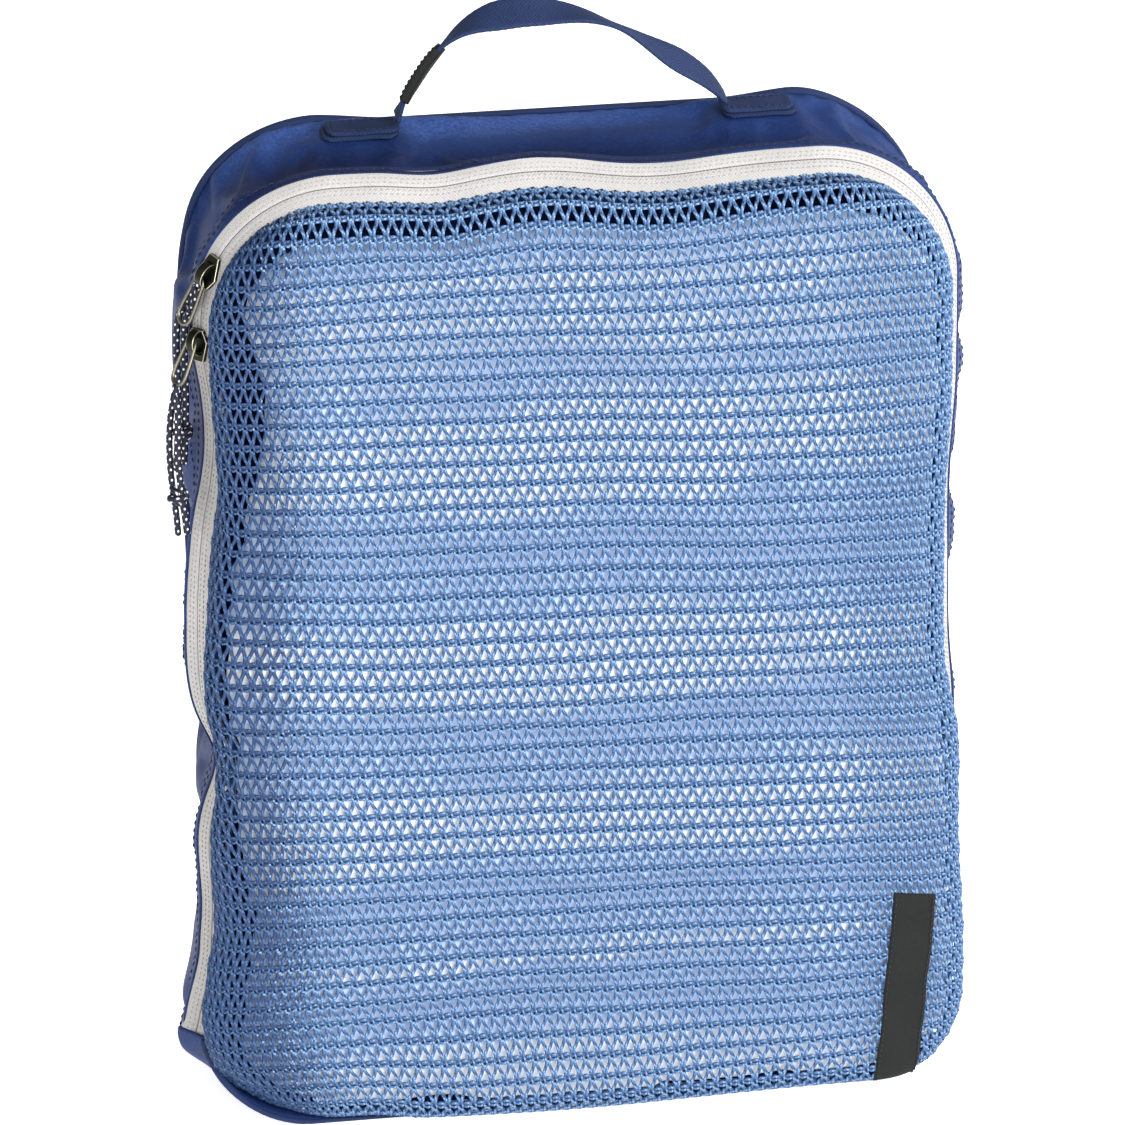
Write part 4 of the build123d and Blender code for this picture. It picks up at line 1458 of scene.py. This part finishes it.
LABEL_WIDTH, LABEL_HEIGHT, LABEL_LEAN = 14 * MM, 78 * MM, math.radians(5)
LABEL_UNDER, LABEL_FACE, LABEL_THREAD = 0.65 * MM, 1.35 * MM, 1.6 * MM


def make_label():
    """The long black woven label at the net's lower right corner, sewn down both long sides."""
    low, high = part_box("front_label")
    middle = np.array([(low.x + high.x) / 2 - 4 * MM, (low.z + high.z) / 2 + 0.5 * MM])
    across, up = np.meshgrid(np.linspace(-1, 1, 22), np.linspace(-1, 1, 80), indexing="ij")

    def placed(a, b, lift):
        a, b = a * LABEL_WIDTH / 2, b * LABEL_HEIGHT / 2
        x = middle[0] + a * math.cos(LABEL_LEAN) + b * math.sin(LABEL_LEAN)
        z = middle[1] - a * math.sin(LABEL_LEAN) + b * math.cos(LABEL_LEAN)
        return drape(np.stack([x.ravel(), z.ravel(), lift.ravel()], 1))[0].reshape(a.shape + (3,))

    edge = np.maximum(np.abs(across), np.abs(up)) ** 30
    fold = 0.35 * MM * (np.abs(across) > 0.84)
    upper = placed(across, up, LABEL_FACE + fold * 0.6 - 0.5 * MM * edge)
    lower = placed(across, up, LABEL_UNDER + 0 * across)
    label = closed_piece("corner_label", np.concatenate([upper, lower[::-1]], 0).transpose(1, 0, 2))
    put(label, "lid", BLACK_WOVEN, ["front_label"])
    for side in (-1, 1):
        b = np.linspace(-0.97, 0.97, 60)
        line = placed(np.full(60, side * 0.88), b, np.full(60, LABEL_THREAD))
        row = stitch_row(f"label_stitches_{side + 2}", line, np.tile([0, -1, 0], (60, 1)), pitch=2.2 * MM,
                         length=1.5 * MM, thick=0.2 * MM)
        put(row, "lid", BLACK_THREAD)


# ---------------------------------------------------------------- the sliders and their wire pulls

UPPER_SLIDER_TURN = math.radians(25)
LOWER_PULL_SWING = math.radians(28)
SLIDER_HALF_LENGTH = 5.75 * MM
SLIDER_HALF_WIDTH = 4.4 * MM
SLIDER_LEAN = math.radians(12)
PIVOT_OFFSET = 3.1 * MM
PIVOT_HEIGHT = 2.85 * MM
BAIL_WIDTH = 3.3 * MM
SHIELD_PLATE = 0.35 * MM, 1.95 * MM
INNER_PLATE = -4.2 * MM, -3.0 * MM
WEB_BETWEEN = -3.1 * MM, 0.45 * MM
WIRE_RADIUS = 0.62 * MM
WIRE_BEND = 3.45 * MM
WIRE_LENGTH = 17.0 * MM


def slider_axes(turn):
    """Across the zip band, up the chain and out of the band, at an angle round the top left corner."""
    lean, level = (math.sin(ZIP_TILT), math.cos(ZIP_TILT)), (math.cos(turn), math.sin(turn))
    across = np.array([lean[0] * level[0], -lean[1], -lean[0] * level[1]])
    outward = np.array([-lean[1] * level[0], -lean[0], lean[1] * level[1]])
    return np.stack([across, np.cross(outward, across), outward])


def add_prism(work, place, outline, low, high):
    """A flat plate: an outline across and up the chain, from one height off the band to another."""
    rings = [[work.verts.new(place(a, b, height)) for a, b in outline] for height in (low, high)]
    work.faces.new(rings[0][::-1])
    work.faces.new(rings[1])
    count = len(outline)
    for index in range(count):
        after = (index + 1) % count
        work.faces.new([rings[0][index], rings[0][after], rings[1][after], rings[1][index]])


def add_bail(work, place, nose):
    """The arched flat bail that holds the pull."""
    angles = np.linspace(-0.06, math.pi + 0.06, 19)
    rows = []
    for angle in angles:
        row = []
        for side, long, tall in ((-1, 4.5, 4.0), (1, 4.5, 4.0), (1, 3.42, 2.96), (-1, 3.42, 2.96)):
            along = nose * 1.2 * MM + long * MM * math.cos(angle)
            height = 1.9 * MM + tall * MM * math.sin(angle)
            row.append(work.verts.new(place(side * BAIL_WIDTH / 2, along, height)))
        rows.append(row)
    for before, after in zip(rows, rows[1:]):
        for k in range(4):
            work.faces.new([before[k], before[(k + 1) % 4], after[(k + 1) % 4], after[k]])
    work.faces.new(rows[0][::-1])
    work.faces.new(rows[-1])


def round_edges(made):
    """Rounds the sharp edges of a slider and shows worn metal there."""
    bevel = made.modifiers.new("round", "BEVEL")
    bevel.width = 0.34 * MM
    bevel.segments = 2
    bevel.limit_method = "ANGLE"
    bevel.angle_limit = math.radians(32)
    bevel.material = 1
    bevel.use_clamp_overlap = True
    apply_modifiers(made)


def make_slider(which, turn, nose):
    """A slider: shield plate, the web through the chain, the plate inside, and the bail, with worn edges."""
    axes = slider_axes(turn)
    pivot = np.array(frame_joint(f"{which}_pull_swing"))
    origin = pivot - nose * PIVOT_OFFSET * axes[1] - PIVOT_HEIGHT * axes[2]
    lean = np.array(Matrix.Rotation(SLIDER_LEAN, 3, Vector(axes[1])))

    def place(a, b, height):
        return origin + lean @ (a * axes[0] + b * axes[1] + height * axes[2])

    w, n = SLIDER_HALF_WIDTH, nose * SLIDER_HALF_LENGTH
    shield = [(-0.5 * w, -n), (0.5 * w, -n), (w, 0.3 * n), (0.58 * w, n), (-0.58 * w, n), (-w, 0.3 * n)]
    if nose < 0:
        shield = shield[::-1]
    work = bmesh.new()
    add_prism(work, place, shield, *SHIELD_PLATE)
    add_prism(work, place, shield, *INNER_PLATE)
    thin, long = 0.25 * MM, 2.5 * MM
    web = [(-thin, -long), (thin, -long), (thin, long), (-thin, long)]
    add_prism(work, place, web, *WEB_BETWEEN)
    add_bail(work, place, nose)
    bmesh.ops.recalc_face_normals(work, faces=work.faces)
    made = bpy.data.objects.new(f"zip_slider_{which}", bpy.data.meshes.new(f"zip_slider_{which}"))
    bpy.context.scene.collection.objects.link(made)
    work.to_mesh(made.data)
    work.free()
    made.data.materials.append(GUNMETAL)
    made.data.materials.append(WORN_EDGE)
    round_edges(made)
    put(made, f"slider_{which}", None, [f"slider_{which}"])


def make_wire(which, turn, swing):
    """A pull: one closed loop of round wire, a little narrower where it passes through the bail."""
    axes = slider_axes(turn)
    pivot = np.array(frame_joint(f"{which}_pull_swing"))
    out = axes[2] * math.cos(swing) + axes[1] * math.sin(swing)
    up = np.cross(out, axes[0])
    radius, length = WIRE_BEND, WIRE_LENGTH
    bend = np.linspace(0, math.pi, 24)
    run = np.linspace(0, 1, 26)[1:-1]
    top = np.stack([radius * np.cos(bend), radius * np.sin(bend) - radius], 1)
    left = np.stack([0 * run - radius, -radius - run * (length - 2 * radius)], 1)
    foot = np.stack([-radius * np.cos(bend), -radius * np.sin(bend) + radius - length], 1)
    right = np.stack([0 * run + radius, radius - length + run * (length - 2 * radius)], 1)
    loop = np.vstack([top, left, foot, right])
    loop[:, 0] *= 0.70 + 0.30 * smooth_share(-loop[:, 1], 0, 0.72 * length)
    line = pivot + loop[:, :1] * axes[0] + loop[:, 1:] * up
    rings = tube_points(line, WIRE_RADIUS, 18, True)
    wire = face_outward(grid_piece(f"pull_loop_{which}", rings, True, True))
    put(wire, f"pull_{which}", WIRE_METAL, [f"pull_wire_{which}"])


def make_sliders():
    for which, turn, nose, swing in [("upper", UPPER_SLIDER_TURN, -1, 0), ("lower", 0, 1, LOWER_PULL_SWING)]:
        make_slider(which, turn, nose)
        make_wire(which, turn, swing)


# ---------------------------------------------------------------- the slump of the whole case

FOOT_SPREAD = 11.5 * MM
LEFT_TUCKS = (1.8, 0.080, 0.018), (3.8, 0.135, 0.017)
BACK_TUCK = (2.2, 0.305, 0.020)
RIGHT_WAIST, RIGHT_SHOULDER, BACK_RIM_DROP = 2.6 * MM, 4.6 * MM, 2.4 * MM
# Height, and how far the zip's left side bows out there, in mm.
ZIP_BOW = np.array([(0, 7), (10, 9), (20, 6), (30, 4), (42, 6), (57, 7.2), (72, 7.2), (88, 6.8), (103, 6),
                    (118, 4.2), (133, 1), (149, 5.4), (164, 6.6), (179, 6.6), (194, 6), (210, 4.5),
                    (225, 2.4), (240, -1.5), (255, -3.2), (270, -2.4), (284, 0)]).T * MM


def zip_bow(z):
    """How far the zip on the left bows out past the band behind it, with the kinks rounded off."""
    return sum(np.interp(z + step * MM, *ZIP_BOW) for step in (-6, -3, 0, 3, 6)) / 5


def slump(made):
    """The soft case has slumped: its lower left corner stands out, and both sides draw in above it."""
    x, y, z = read_points(made).T
    left, right = (np.clip(side * x / HALF_WIDTH, 0, 1) ** 4 for side in (-1, 1))
    forward = 0.5 + 0.5 * smooth_share(-y, -BACK_Y, -ZIP_EDGE_Y)
    foot = smooth_share(-z, -0.062, -0.018) * (1 - 0.85 * smooth_share(-z, -0.022, 0.002))
    ahead = zip_bow(z) * smooth_share(-y, 0.006, 0.026)
    tuck = humps(z, *LEFT_TUCKS) + humps(z, BACK_TUCK) * smooth_share(y, -0.022, -0.006)
    waist = RIGHT_WAIST * np.exp(-((z - 0.195) / 0.048) ** 4)
    shoulder = RIGHT_SHOULDER * smooth_share(x, 0.07, 0.11) * smooth_share(z, 0.26, 0.312)
    shoulder = shoulder * smooth_share(y, -0.016, 0.018)
    x = x - left * (FOOT_SPREAD * foot * forward - tuck + ahead) - right * waist - shoulder
    rim = smooth_share(y, 0.0250, 0.0272) * smooth_share(z, TOP - 4 * MM, TOP)
    rim = rim * (1 - smooth_share(np.abs(x), 0.055, 0.085))
    move_points(made, np.stack([x, y, np.maximum(z - BACK_RIM_DROP * rim, 0.1 * MM)], 1))


def slump_all():
    """Slumps every soft piece. The sliders and pulls are rigid, and the CAD's own objects aren't touched."""
    for made in list(bpy.context.scene.objects):
        rigid = made.name.startswith(("pull_", "zip_slider"))
        if made.type == "MESH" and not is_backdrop(made) and "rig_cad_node" not in made and not rigid:
            slump(made)


# ---------------------------------------------------------------- the whole object

make_camera()
make_floor()
make_light()
make_cords()
make_net()
make_garment()
band = make_gusset()
make_foot()
make_back()
make_zip(band)
make_strap()
make_patch(-1, "patch_left")
make_patch(1, "patch_right")
make_label()
make_sliders()
slump_all()
